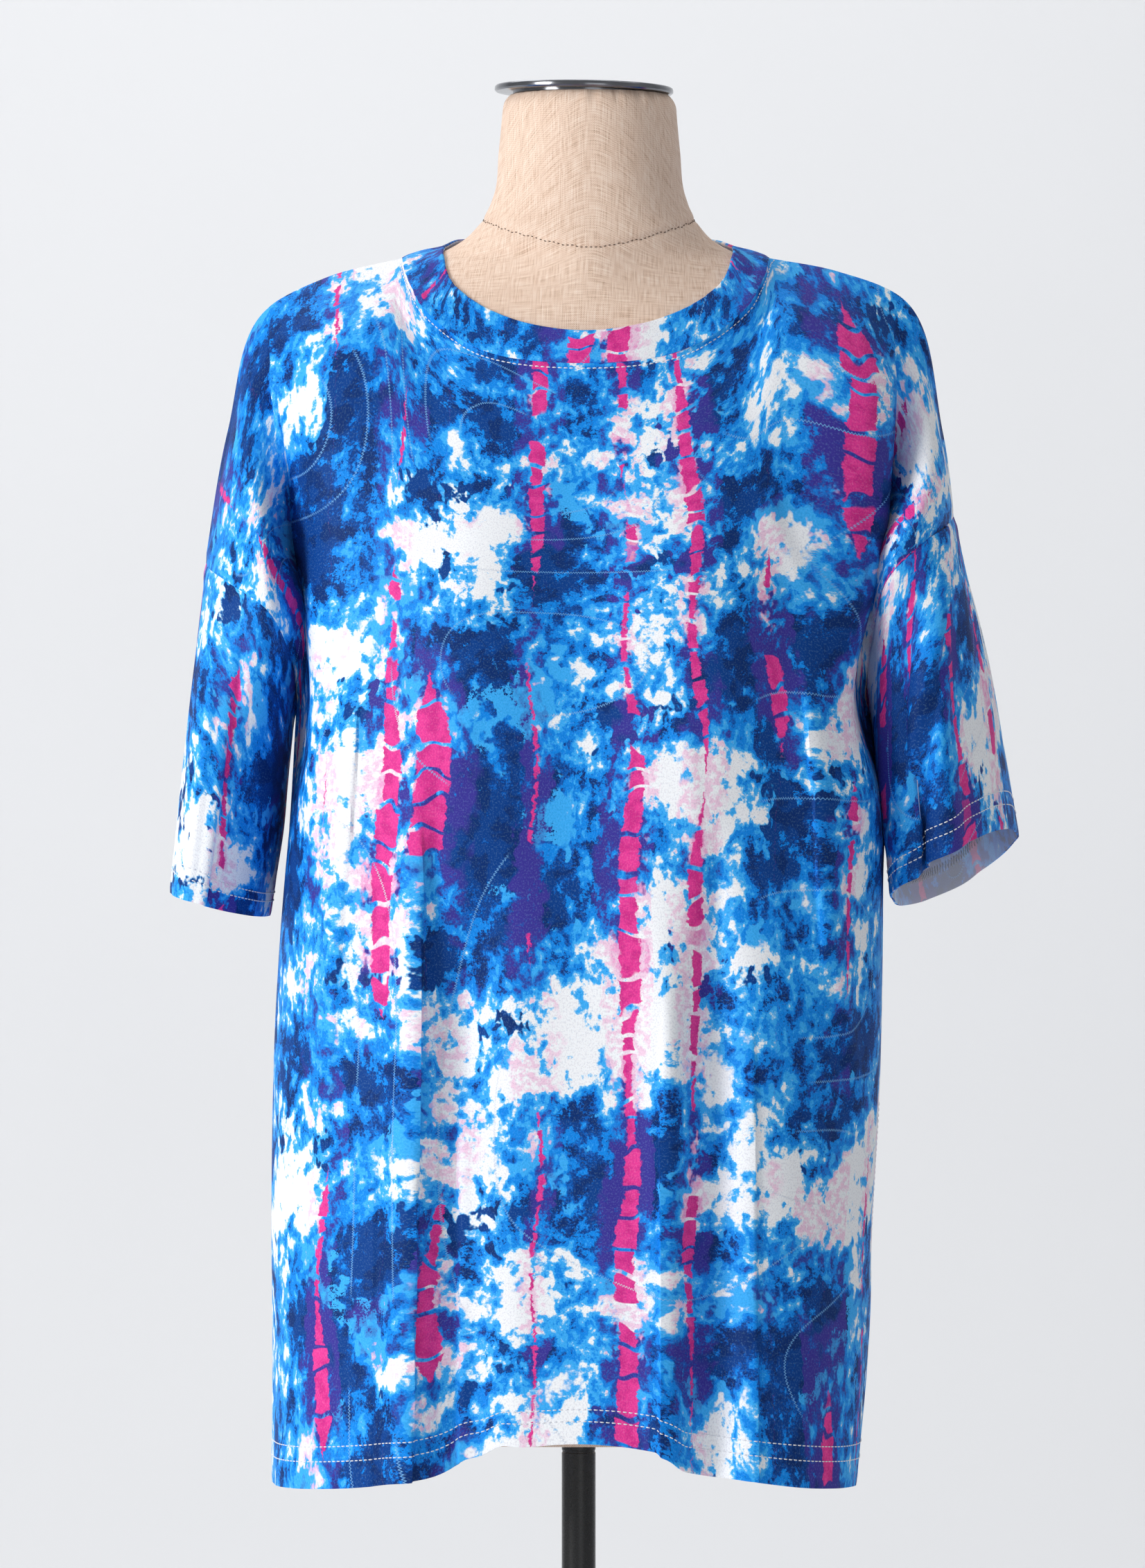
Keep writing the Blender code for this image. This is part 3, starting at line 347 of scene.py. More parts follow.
def panel_net(middle_rows, facing):
    """Every table point of a panel, from the garment's right side seam to its left one."""
    right = np.concatenate([side_net(RIGHT_SIDE, -1, facing), middle_net(middle_rows, -1, facing)], axis=1)
    left = np.concatenate([side_net(LEFT_SIDE, 1, facing), middle_net(middle_rows, 1, facing)], axis=1)
    return np.concatenate([right, left[:, -2::-1]], axis=1)


def along_fold(fold, points, fade_length):
    """Where a fold's line passes at each point's height, and its strength there, which fades at both ends."""
    length = fold.z_top - fold.z_end
    down = (fold.z_top - points[..., 2]) / length
    x = fold.x_top + (fold.x_end - fold.x_top) * down
    return x, smoothstep(down * length / fade_length) * smoothstep((1 - down) * length / fade_length)


def fold_heights(points, folds):
    """How far the cloth stands out at each point, by the folds that pass it."""
    height = np.zeros(points.shape[:-1])
    for fold in folds:
        x, fade = along_fold(fold, points, FOLD_FADE)
        height += fold.height * fade * bell(points[..., 0] - x, fold.half_width)
    return height


def hem_lift(points):
    """How far each point of the front rides up."""
    aside = 1 - smoothstep((np.abs(points[..., 0]) - HEM_LIFT_HALF_WIDTH) / HEM_LIFT_SOFTNESS + 0.5)
    low = 1 - smoothstep((points[..., 2] - points[-1:, :, 2]) / HEM_LIFT_HEIGHT)
    return HEM_LIFT * aside * low


def grid_normals(grid, ring=False):
    """Unit normals of a grid of points. They point out where the rows run down and the columns run to +X."""
    down = np.gradient(grid, axis=0)
    if ring:
        across = (np.roll(grid, -1, axis=1) - np.roll(grid, 1, axis=1)) / 2
    else:
        across = np.gradient(grid, axis=1)
    normals = np.cross(down, across)
    return normals / np.maximum(np.linalg.norm(normals, axis=-1, keepdims=True), 1e-9)


def panel_grid(middle_rows, facing, steps, folds):
    """The middle surface of the front or the back, and the places of its columns and rows."""
    net = panel_net(middle_rows, facing)
    half = np.array(COLUMN_ACROSS)
    across_knots = np.concatenate([half, 2 * half[-1] - half[-2::-1]])
    across = between(across_knots, steps + steps[::-1])
    down = between(ROW_DOWN, ROWS_BETWEEN)
    loft = spline(ROW_DOWN, net, down)
    grid = spline(across_knots, loft.transpose(1, 0, 2), across).transpose(1, 0, 2)

    # The top edge turns a corner where the shoulder seam meets the neckband, so it is three curves.
    corners = (0, COLLAR, len(across_knots) - 1 - COLLAR, len(across_knots) - 1)
    top = edge_curves(across_knots, net[0], across, corners)
    fade = 1 - smoothstep(down / ROW_DOWN[2])
    grid += fade[:, None, None] * (top - grid[0])[None]
    # The side edge turns one at the underarm point.
    turns = (0, ARMHOLE_END, SLIT_TOP, len(ROW_DOWN) - 1)
    for column in (0, -1):
        edge = edge_curves(ROW_DOWN, net[:, column], down, turns)
        from_edge = across if column == 0 else across[-1] - across
        fade = 1 - smoothstep(from_edge / COLUMN_ACROSS[1])
        grid += fade[None, :, None] * (edge - grid[:, column])[:, None]

    if facing < 0:
        grid[..., 2] += hem_lift(grid)
    normals = grid_normals(grid) * -facing
    edge_fade = smoothstep(np.minimum(across, across[-1] - across) / COLUMN_ACROSS[3])
    return grid + normals * (fold_heights(grid, folds) * edge_fade[None])[..., None], across, down


def sleeve_section(section, sign, around):
    """One plan section of a sleeve, from its outer side round its front to the underarm and back."""
    angle = np.arange(around) * math.tau / around
    thick = section.half_thickness * np.cos(angle)
    wide = section.half_width * -np.sin(angle)
    turn = math.radians(section.turn_degrees)
    x = section.middle_x + thick * math.cos(turn) + wide * math.sin(turn)
    y = section.middle_y + wide * math.cos(turn) - thick * math.sin(turn)
    height = section.outer_z + (section.inner_z - section.outer_z) * (1 - np.cos(angle)) / 2
    return np.column_stack([sign * x, y, height])


def sleeve_grid(side, front, back):
    """A sleeve's middle surface: rows from the armhole to the hem, columns round it."""
    column = -1 if side == "left" else 0
    rows = sum(ROWS_BETWEEN[:ARMHOLE_END])
    armhole = np.concatenate([front[: rows + 1, column], back[1:rows, column][::-1]])
    sections = SLEEVES[side]
    net = np.stack([armhole] + [sleeve_section(section, SIGN[side], len(armhole)) for section in sections])
    down = np.linspace(0, 1, SLEEVE_DOWN + 1)
    grid = spline([0.0] + [section.down for section in sections], net, down)
    height = np.zeros(grid.shape[:2])
    degrees = np.arange(len(armhole)) * 360 / len(armhole)
    for fold in SLEEVE_FOLDS[side]:
        apart = (degrees - fold.degrees + 180) % 360 - 180
        grown = smoothstep((down - fold.begins) / SLEEVE_FOLD_FADE)
        height += fold.height * np.outer(grown, bell(apart, fold.half_width))
    return grid + grid_normals(grid, ring=True) * (-SIGN[side] * height)[..., None]


def band_grid(front, back):
    """The neckband's middle surface: rows from its seam to its free edge, columns round the neck."""
    count_front = sum(FRONT_STEPS[:COLLAR])
    count_back = sum(BACK_STEPS[:COLLAR])
    seam_front = front[0, count_front:-count_front]
    seam_back = back[0, count_back:-count_back][::-1]
    edge = BAND_EDGE[0]

    def half_ring(side, turn, centre, count):
        points = [(-side[0], side[1], side[2]), (-turn[0], turn[1], turn[2]), centre, turn, side]
        side_lean, turn_lean, centre_lean = BAND_LEAN
        leans = (side_lean, turn_lean, centre_lean, turn_lean, side_lean)
        points = np.array([(x + lean, -forward, up) for (x, forward, up), lean in zip(points, leans)])
        run = run_along(points)
        return curve_through(run, points, np.linspace(0, run[-1], count))

    free_front = half_ring(edge.front_side, edge.front_turn, edge.front_centre, len(seam_front))
    free_back = half_ring(edge.back_side, edge.back_turn, edge.back_centre, len(seam_back))[::-1]
    seam = np.concatenate([seam_front, seam_back[1:-1]])
    free = np.concatenate([free_front, free_back[1:-1]])
    return np.stack([seam + (free - seam) * t for t in np.linspace(0, 1, BAND_ACROSS + 1)])


def share_normals(first, second):
    """The mean of the normals that meet along one seam."""
    mean = (first + second) / 2
    return mean / np.linalg.norm(mean, axis=-1, keepdims=True)


# Smaller creases of the visible front and of the hidden sides, in the columns of the panels' folds. The width
# beyond the line is its other flank's: where that is narrow, the cloth on the first side lies over the
# second like a ledge, by its lap. A lap below 0 makes the cloth on the line's +X side the upper one.
CREASE_COLUMNS = "x_top z_top x_end z_end height half_width beyond lap"
FRONT_CREASES = table(
    CREASE_COLUMNS,
    (-0.1000, 1.085, -0.1095, 0.560, 0.0044, 0.0150, 0.0014, 0.0026),
    (-0.1385, 1.190, -0.1490, 1.010, 0.0036, 0.0110, 0.0014, 0.0020),
    (-0.1465, 1.075, -0.1640, 0.800, 0.0030, 0.0100, 0.0014, 0.0016),
    (-0.0735, 0.930, -0.0735, 0.560, 0.0040, 0.0150, 0.0016, -0.0020),
    (-0.0900, 1.100, -0.0880, 0.560, -0.0024, 0.0060, 0.0060, 0.0),
    (-0.0560, 0.900, -0.0560, 0.560, 0.0012, 0.0080, 0.0080, 0.0),
    (-0.1280, 0.900, -0.1330, 0.560, 0.0022, 0.0100, 0.0016, 0.0010),
    (0.0545, 0.985, 0.0520, 0.560, 0.0040, 0.0140, 0.0014, -0.0022),
    (0.0880, 1.090, 0.0870, 0.560, -0.0026, 0.0070, 0.0070, 0.0),
    (0.1090, 0.960, 0.1120, 0.560, 0.0028, 0.0100, 0.0018, 0.0012),
    (0.1405, 1.190, 0.1590, 0.950, 0.0036, 0.0110, 0.0014, -0.0020),
    (0.1560, 1.020, 0.1780, 0.860, 0.0030, 0.0080, 0.0014, -0.0014),
    (-0.0640, 1.070, -0.0640, 0.560, -0.0066, 0.0230, 0.0200, 0.0),
    (0.0850, 1.010, 0.0840, 0.560, -0.0040, 0.0200, 0.0200, 0.0),
    (0.0180, 0.930, 0.0120, 0.560, 0.0010, 0.0120, 0.0120, 0.0),
    (-0.0250, 0.900, -0.0280, 0.560, -0.0010, 0.0120, 0.0120, 0.0),
    (-0.1750, 1.120, -0.1460, 0.960, 0.0024, 0.0080, 0.0020, 0.0008),
    (0.1790, 1.130, 0.1500, 0.960, 0.0024, 0.0080, 0.0020, -0.0008),
    (-0.1990, 1.420, -0.1830, 1.150, 0.0042, 0.0130, 0.0016, -0.0024),
    (0.2040, 1.410, 0.1830, 1.150, 0.0044, 0.0130, 0.0016, 0.0024),
    (-0.0890, 1.330, -0.1500, 1.190, 0.0016, 0.0100, 0.0060, 0.0),
    (0.0930, 1.330, 0.1600, 1.180, 0.0018, 0.0100, 0.0060, 0.0),
    (-0.0600, 1.180, -0.0900, 1.040, 0.0014, 0.0100, 0.0060, 0.0),
    (0.0640, 1.190, 0.0760, 1.030, 0.0014, 0.0090, 0.0060, 0.0),
)
BACK_CREASES = table(
    CREASE_COLUMNS,
    (-0.1150, 1.230, -0.1190, 0.560, 0.0040, 0.0140, 0.0016, -0.0020),
    (-0.0880, 1.150, -0.0870, 0.560, -0.0024, 0.0060, 0.0060, 0.0),
    (-0.0230, 1.040, -0.0160, 0.560, 0.0022, 0.0120, 0.0030, 0.0010),
    (0.0480, 1.110, 0.0430, 0.560, -0.0022, 0.0070, 0.0070, 0.0),
    (0.0950, 1.210, 0.1020, 0.560, 0.0042, 0.0150, 0.0014, 0.0022),
    (-0.1750, 1.130, -0.1480, 0.960, 0.0026, 0.0080, 0.0020, 0.0008),
    (0.1790, 1.120, 0.1520, 0.950, 0.0024, 0.0075, 0.0020, -0.0008),
    (-0.0700, 1.360, -0.1300, 1.200, 0.0016, 0.0120, 0.0070, 0.0),
    (0.0750, 1.360, 0.1400, 1.190, 0.0014, 0.0110, 0.0070, 0.0),
    (0.1350, 1.120, 0.1500, 0.800, 0.0026, 0.0100, 0.0016, 0.0010),
)
CREASE_FADE = 0.075
LAP_REACH = 2.5  # how far a lap reaches, in widths of its flank
# Places where the panels' cloth is moved a little: its side towards the left sleeve, and the front hem.
NUDGES = table(
    "x z reach_x reach_z move_x move_z",
    (0.1850, 1.095, 0.0350, 0.0420, 0.0062, 0.0),
    (-0.0680, 0.660, 0.0150, 0.0450, 0.0, 0.0088),
    (-0.0480, 0.660, 0.0120, 0.0450, 0.0, 0.0022),
)
# Creases of the sleeves, in the columns of their folds.
SLEEVE_CREASE_COLUMNS = "degrees turn height half_width other_side begins"
SLEEVE_CREASES = {
    "right": table(
        SLEEVE_CREASE_COLUMNS,
        (40, 0, 0.0012, 6, 6, 0.0),
        (75, 0, 0.0026, 4.5, 4.5, 0.0),
        (104, 0, -0.0030, 5, 5, 0.0),
        (150, 0, 0.0016, 8, 8, 0.1),
        (215, 0, -0.0018, 9, 9, 0.1),
        (285, 0, 0.0014, 8, 8, 0.0),
        (330, 0, -0.0010, 9, 9, 0.2),
    ),
    "left": table(
        SLEEVE_CREASE_COLUMNS,
        (18, 20, 0.0010, 8, 8, 0.1),
        (52, 54, 0.0052, 2.2, 26, -0.2),
        (44, 50, -0.0030, 5, 5, -0.1),
        (134, 0, 0.0016, 8, 8, 0.1),
        (200, 0, -0.0018, 9, 9, 0.1),
        (262, 0, 0.0016, 8, 8, 0.0),
        (320, 0, 0.0014, 8, 8, 0.2),
    ),
}

HEM_DEPTH = 0.0225  # the turned hem of the body and the sleeves
HEM_ROWS = (0.013, 0.020)  # the stitch rows' distances from the hem's edge
SLIT_ROW = 0.012
SLIT_DEPTH = SLIT_ROW + 0.002  # the turned edge of a slit
BAND_ROW = 0.004
STITCH_LENGTH = 0.0029
STITCH_SPACING = 0.0037
STITCH_RADIUS = 0.00042
SHELL_OUT = 0.0008  # the cloth's outer side, from the middle surface
SHELL_IN = 0.0003
HEM_LAYER = 0.0008  # the turned layer inside a hem
SEAM_DIP = 0.0007  # how far the cloth sinks at a seam
SEAM_REACH = 0.0032
PUFF, PUFF_BESIDE, PUFF_REACH = 0.0004, 0.008, 0.004  # the cloth stands out a little beside a seam
HEM_STEP = 0.0015  # the length over which a hem's turned layer ends
HEM_PUFF = 0.0002
EDGE_ROUND, EDGE_REACH = 0.0004, 0.0012  # a hem's folded edge is rounded by this much, over this length
SHARP_CLOTH, SHARP_LINEN, SHARP_TURNED = (math.radians(degrees) for degrees in (55, 50, 35))


def smooth_noise(shape, cells, seed):
    """Soft noise between about -1 and 1 on a grid, with the given number of cells each way."""
    grains = np.random.default_rng(seed).uniform(-1, 1, (cells[0] + 3, cells[1] + 3))
    rows = spline(np.arange(cells[0] + 3), grains, np.linspace(1, cells[0] + 1, shape[0]))
    return spline(np.arange(cells[1] + 3), rows.T, np.linspace(1, cells[1] + 1, shape[1])).T


def creased(grid, outward, creases, near_edge):
    """The grid with its creases: each lifts the cloth off its middle surface and laps it across its line."""
    lift = np.zeros(grid.shape[:2])
    slide = np.zeros(grid.shape[:2])
    for crease in creases:
        x, fade = along_fold(crease, grid, CREASE_FADE)
        gap = (grid[..., 0] - x) * (-1 if crease.lap < 0 else 1)
        profile = fade * bell(gap, np.where(gap < 0, crease.half_width, crease.beyond))
        lift += crease.height * profile
        slide += crease.lap * profile * bell(gap, LAP_REACH * crease.beyond)
    made = grid + outward * (lift * near_edge)[..., None]
    made[..., 0] += slide * near_edge
    return made


def nudged(grid):
    moved = grid.copy()
    for nudge in NUDGES:
        share = bell(grid[..., 0] - nudge.x, nudge.reach_x) * bell(grid[..., 2] - nudge.z, nudge.reach_z)
        moved += share[..., None] * np.array([nudge.move_x, 0.0, nudge.move_z])
    return moved


def clear_of(grid, tree, least):
    """Moves points straight out from the form wherever they lie nearer than the least distance."""
    moved = grid.copy()
    for index in np.ndindex(grid.shape[:2]):
        place, normal = (np.array(found) for found in tree.find_nearest(Vector(grid[index]))[:2])
        short = least - float(np.dot(grid[index] - place, normal))
        if short > 0:
            moved[index] += normal * short
    return moved


def linked(name, data):
    """A new object of the scene."""
    obj = bpy.data.objects.new(name, data)
    bpy.context.scene.collection.objects.link(obj)
    return obj


def set_uv(mesh, corners):
    layer = mesh.uv_layers.new(name="cloth")
    layer.data.foreach_set("uv", np.asarray(corners, np.float32).ravel())


def cloth_shell(name, grid, normals, uv, out, into, ring):
    """A thin closed shell of cloth. uv is the flat cloth's place of each grid point, in metres; out and into
    are the two faces' distances from the middle surface."""
    down, across = grid.shape[:2]
    outer = grid + normals * out[..., None]
    inner = grid - normals * into[..., None]
    points = np.concatenate([outer.reshape(-1, 3), inner.reshape(-1, 3)])
    count = down * across
    columns = across if ring else across - 1
    row, column = (net.ravel() for net in np.meshgrid(np.arange(down - 1), np.arange(columns), indexing="ij"))
    corner_rows = np.stack([row, row + 1, row + 1, row], axis=1)
    corner_columns = np.stack([column, column, column + 1, column + 1], axis=1)
    quads = corner_rows * across + corner_columns % across
    flat = uv[corner_rows, corner_columns]
    faces = [quads, quads[:, ::-1] + count]
    flats = [flat, flat[:, ::-1]]
    inside = [np.zeros(len(quads)), np.ones(len(quads))]

    def rim(rows, columns_at):
        a = rows * across + columns_at % across
        ids = np.stack([a[:-1], a[1:], a[1:] + count, a[:-1] + count], axis=1)
        at = uv[rows, columns_at]
        faces.append(ids)
        flats.append(np.stack([at[:-1], at[1:], at[1:], at[:-1]], axis=1))
        inside.append(np.zeros(len(ids)))

    for end in (0, down - 1):
        rim(np.full(columns + 1, end), np.arange(columns + 1))
    if not ring:
        for end in (0, across - 1):
            rim(np.arange(down), np.full(down, end))
    faces = np.concatenate(faces)
    mesh = bpy.data.meshes.new(name)
    mesh.from_pydata(points.tolist(), [], faces.tolist())
    set_uv(mesh, np.concatenate(flats))
    side = mesh.attributes.new("inside", "FLOAT", "FACE")
    side.data.foreach_set("value", np.concatenate(inside).astype(np.float32))
    mesh.update()
    if mesh_volume(points, faces) < 0:
        mesh.flip_normals()
    mesh.shade_smooth()
    mesh.set_sharp_from_angle(angle=SHARP_CLOTH)
    return linked(name, mesh)


def mesh_volume(points, quads):
    """Six times the volume that the faces enclose, below nothing where they are inside out."""
    a, b, c, d = (points[quads[:, i]] for i in range(4))
    return float((np.einsum("ij,ij->i", a, np.cross(b, c)) + np.einsum("ij,ij->i", a, np.cross(c, d))).sum())


def new_piece(name, points, faces):
    mesh = bpy.data.meshes.new(name)
    mesh.from_pydata([tuple(p) for p in points], [], faces)
    build = bmesh.new()
    build.from_mesh(mesh)
    bmesh.ops.recalc_face_normals(build, faces=build.faces)
    build.to_mesh(mesh)
    build.free()
    mesh.shade_smooth()
    return linked(name, mesh)


def ring_faces(rings, around):
    """Faces between rings of points, ring after ring, and one across each end."""
    faces = []
    for low in range(0, (rings - 1) * around, around):
        for j in range(around):
            k = (j + 1) % around
            faces.append((low + j, low + k, low + around + k, low + around + j))
    first, last = tuple(range(around)), tuple(range((rings - 1) * around, rings * around))
    return faces + [first[::-1], last]


def tube(path, radius, up, sides=5, end=0.45):
    """Points and faces of a thread along a short path, narrower at its ends."""
    along = np.gradient(path, axis=0)
    along /= np.linalg.norm(along, axis=1, keepdims=True) + 1e-12
    side = np.cross(along, up)
    side /= np.linalg.norm(side, axis=1, keepdims=True) + 1e-12
    top = np.cross(side, along)
    widths = np.full(len(path), radius)
    widths[[0, -1]] *= end
    turn = np.arange(sides) * math.tau / sides
    ring = np.cos(turn)[None, :, None] * side[:, None] + np.sin(turn)[None, :, None] * top[:, None]
    points = path[:, None] + ring * widths[:, None, None]
    return points.reshape(-1, 3), ring_faces(len(path), sides)


def gather(name, tubes):
    points, faces, start = [], [], 0
    for some, quads in tubes:
        points.append(some)
        faces += [tuple(start + i for i in face) for face in quads]
        start += len(some)
    return new_piece(name, np.concatenate(points), faces)


def read_line(at, run, values):
    """A line's values at one place along it, or at several."""
    return np.stack([np.interp(at, run, values[:, i]) for i in range(3)], axis=-1)


def stitches_along(places, normals, length=STITCH_LENGTH, spacing=STITCH_SPACING, radius=STITCH_RADIUS,
                   closed=False):
    """Thread stitches that dip into the cloth at both ends, along a line on its outer face."""
    if closed:
        places = np.concatenate([places, places[:1]])
        normals = np.concatenate([normals, normals[:1]])
    run = run_along(places)
    rise = radius * np.array([-0.75, 0.25, 0.5, 0.25, -0.75])
    made = []
    for start in np.arange(spacing / 2, run[-1] - length, spacing):
        up = read_line(start, run, normals)
        up /= np.linalg.norm(up)
        path = read_line(start + np.linspace(0, length, len(rise)), run, places)
        made.append(tube(path + up * rise[:, None], radius, up))
    return made


LACE_WIDTH, LACE_PITCH, LACE_RADIUS, LACE_INSET = 0.0055, 0.0026, 0.00022, 0.0004


def lace(edge, beside, normals):
    """Overlock thread that runs to and fro between a raw edge and a line beside it, on the inner face."""
    run = run_along(edge)
    inward = beside - edge
    inward /= np.linalg.norm(inward, axis=1, keepdims=True)
    at = np.arange(0, run[-1], LACE_PITCH / 2)
    reach = LACE_INSET + LACE_WIDTH * (np.arange(len(at)) % 2)
    path = read_line(at, run, edge) + read_line(at, run, inward) * reach[:, None]
    path -= read_line(at, run, normals) * LACE_RADIUS * 1.2
    return tube(path, LACE_RADIUS, normals[0], sides=4, end=1)


def at_row(grid, value_rows, value):
    """The line across a grid at one value of its rows."""
    return spline(value_rows, grid, np.array([value]))[0]


# ---- the dress form -------------------------------------------------------------------------------------

FORM_AROUND = 128
NECK_SEAM = table("front side back", (1.4395, 1.4600, 1.4680))[0]
FINE_FROM, FINE_STEP = 1.425, 0.0013  # the cover's rows are finer from this height up
SEAM_DENT, SEAM_DENT_WIDTH = 0.0009, 0.0013  # the linen sinks at the neck's seam and rises above it
SEAM_RIDGE, SEAM_RIDGE_ABOVE, SEAM_RIDGE_WIDTH = 0.0004, 0.004, 0.0035
NECK_STITCH = (0.0016, 0.0031, 0.00034)  # its stitches' length, spacing and radius
NECK_STITCH_RISE = 0.0002
TUCK_DEPTH, TUCK_HEIGHT = 0.0050, 0.011  # how far the linen turns in below the cap, and over which height
TUCK_BEND = 2.4
GATHERS_FROM, GATHERS_FADE = 0.014, 0.012
# Two waves round the neck: height, number, and the sway, its number and the start of each wave's phase.
GATHERS = ((0.00056, 37, 1.7, 5, 0.0), (0.00048, 23, 0.0, 0, 2.0))


def form_grid():
    heights = [section.height for section in FORM_SECTIONS]
    lower = np.linspace(heights[0], FINE_FROM, 130)
    upper = np.arange(FINE_FROM, heights[-1], FINE_STEP)
    fine = np.unique(np.round(np.concatenate([lower, upper, heights[-1:]]), 6))
    shapes = spline(heights, [section[1:] for section in FORM_SECTIONS], fine)
    rings = []
    for height, (*shape, middle) in zip(fine, shapes):
        x, y = ellipse_ring(*shape, FORM_AROUND)
        rings.append(np.column_stack([x + middle, y, np.full(FORM_AROUND, height)]))
    return np.array(rings)


def neck_seam_height(points):
    """Height of the neck's seam at each point, which dips at the front."""
    forward = -points[..., 1] / np.maximum(np.hypot(points[..., 0] - NECK_MIDDLE, points[..., 1]), 1e-6)
    front = NECK_SEAM.side + (NECK_SEAM.front - NECK_SEAM.side) * np.clip(forward, 0, 1) ** 1.5
    return front + (NECK_SEAM.back - NECK_SEAM.side) * np.clip(-forward, 0, 1)


def make_form():
    """The form's linen cover, its neck seam and a tree of its faces."""
    grid = form_grid()
    outward = grid - grid.mean(axis=1, keepdims=True)
    outward[..., 2] = 0
    outward /= np.linalg.norm(outward, axis=-1, keepdims=True)
    above = grid[..., 2] - neck_seam_height(grid)
    dent = -SEAM_DENT * bell(above, SEAM_DENT_WIDTH)
    dent += SEAM_RIDGE * bell(above - SEAM_RIDGE_ABOVE, SEAM_RIDGE_WIDTH)
    angle = np.arange(FORM_AROUND) * math.tau / FORM_AROUND
    near_top = smoothstep((grid[..., 2] - (NECK_TOP - GATHERS_FROM)) / GATHERS_FADE)
    gathers = sum(high * np.sin(angle * number + sway * np.sin(angle * sways) + start)
                  for high, number, sway, sways, start in GATHERS)
    tuck = -TUCK_DEPTH * np.clip((grid[..., 2] - (NECK_TOP - TUCK_HEIGHT)) / TUCK_HEIGHT, 0, 1) ** TUCK_BEND
    grid = grid + outward * (dent + near_top * gathers[None] + tuck)[..., None]

    # The linen is laid out flat from the middle of the back, where its seam is.
    rows = len(grid)
    back_seam = FORM_AROUND // 4
    unrolled = grid[:, (np.arange(FORM_AROUND + 1) + back_seam) % FORM_AROUND]
    along = run_along(unrolled, 1)
    flat = np.stack([along - along[:, [FORM_AROUND // 2]], run_along(unrolled)], axis=-1)
    i, j = np.divmod(np.arange((rows - 1) * FORM_AROUND), FORM_AROUND)
    j = (j - back_seam) % FORM_AROUND
    uv = np.stack([flat[i, j], flat[i, j + 1], flat[i + 1, j + 1], flat[i + 1, j]], axis=1)
    points = grid.reshape(-1, 3)
    faces = ring_faces(rows, FORM_AROUND)
    ends = points[[i for face in faces[-2:] for i in face], :2]
    mesh = bpy.data.meshes.new("form_cover")
    mesh.from_pydata(points.tolist(), [], faces)
    set_uv(mesh, np.concatenate([uv.reshape(-1, 2), ends]))
    mesh.update()
    mesh.shade_smooth()
    mesh.set_sharp_from_angle(angle=SHARP_LINEN)
    cover = linked("form_cover", mesh)
    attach(cover, "root")
    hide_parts("form_torso")

    seam_rows = np.argmin(np.abs(grid[..., 2] - neck_seam_height(grid)), axis=0)
    columns = np.arange(FORM_AROUND)
    ups = outward[seam_rows, columns]
    line = grid[seam_rows, columns] + NECK_STITCH_RISE * ups
    seam = gather("form_neck_seam", stitches_along(line, ups, *NECK_STITCH, closed=True))
    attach(seam, "root")
    return cover, seam, BVHTree.FromPolygons([Vector(p) for p in points], faces)


TURNED_STEPS = 96


def turned(name, profile, middle=0.0):
    """A turned piece from (radius, height) pairs, from the axis to the axis."""
    turn = np.arange(TURNED_STEPS) * math.tau / TURNED_STEPS
    points, rings, faces = [], [], []
    for radius, height in profile:
        on_axis = radius < 1e-6
        ring = [(radius * math.cos(a), radius * math.sin(a), height) for a in (turn[:1] if on_axis else turn)]
        rings.append(range(len(points), len(points) + len(ring)))
        points += ring
    for low, high in zip(rings[:-1], rings[1:]):
        for i in range(TURNED_STEPS):
            j = (i + 1) % TURNED_STEPS
            face = [low[i % len(low)], low[j % len(low)], high[j % len(high)], high[i % len(high)]]
            faces.append(tuple(dict.fromkeys(face)))
    obj = new_piece(name, points, faces)
    obj.location.x = middle
    obj.data.set_sharp_from_angle(angle=SHARP_TURNED)
    return obj


def rounded(radius, height, bevel):
    """Profile points round the upper edge of a turned piece."""
    return [(radius - bevel + bevel * math.sin(a), height - bevel + bevel * math.cos(a))
            for a in np.linspace(0, math.pi / 2, 5)]


LID_DROP = 0.0030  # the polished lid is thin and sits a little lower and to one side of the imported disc
LID_THICKNESS = 0.0044
LID_BEVEL = 0.0018
LID_MIDDLE = 0.0035
LID_TILT = 0.018
LID_DISH, LID_RIM = 0.0002, 0.006  # the lid's top lies a little below its rim
LID_FOOT_INSET = 0.0120
POLE_JOINT = 0.660  # the height of the groove where the pole's tubes meet
GROOVE_DEPTH = 0.0004
SMALL_BEVEL = 0.0006


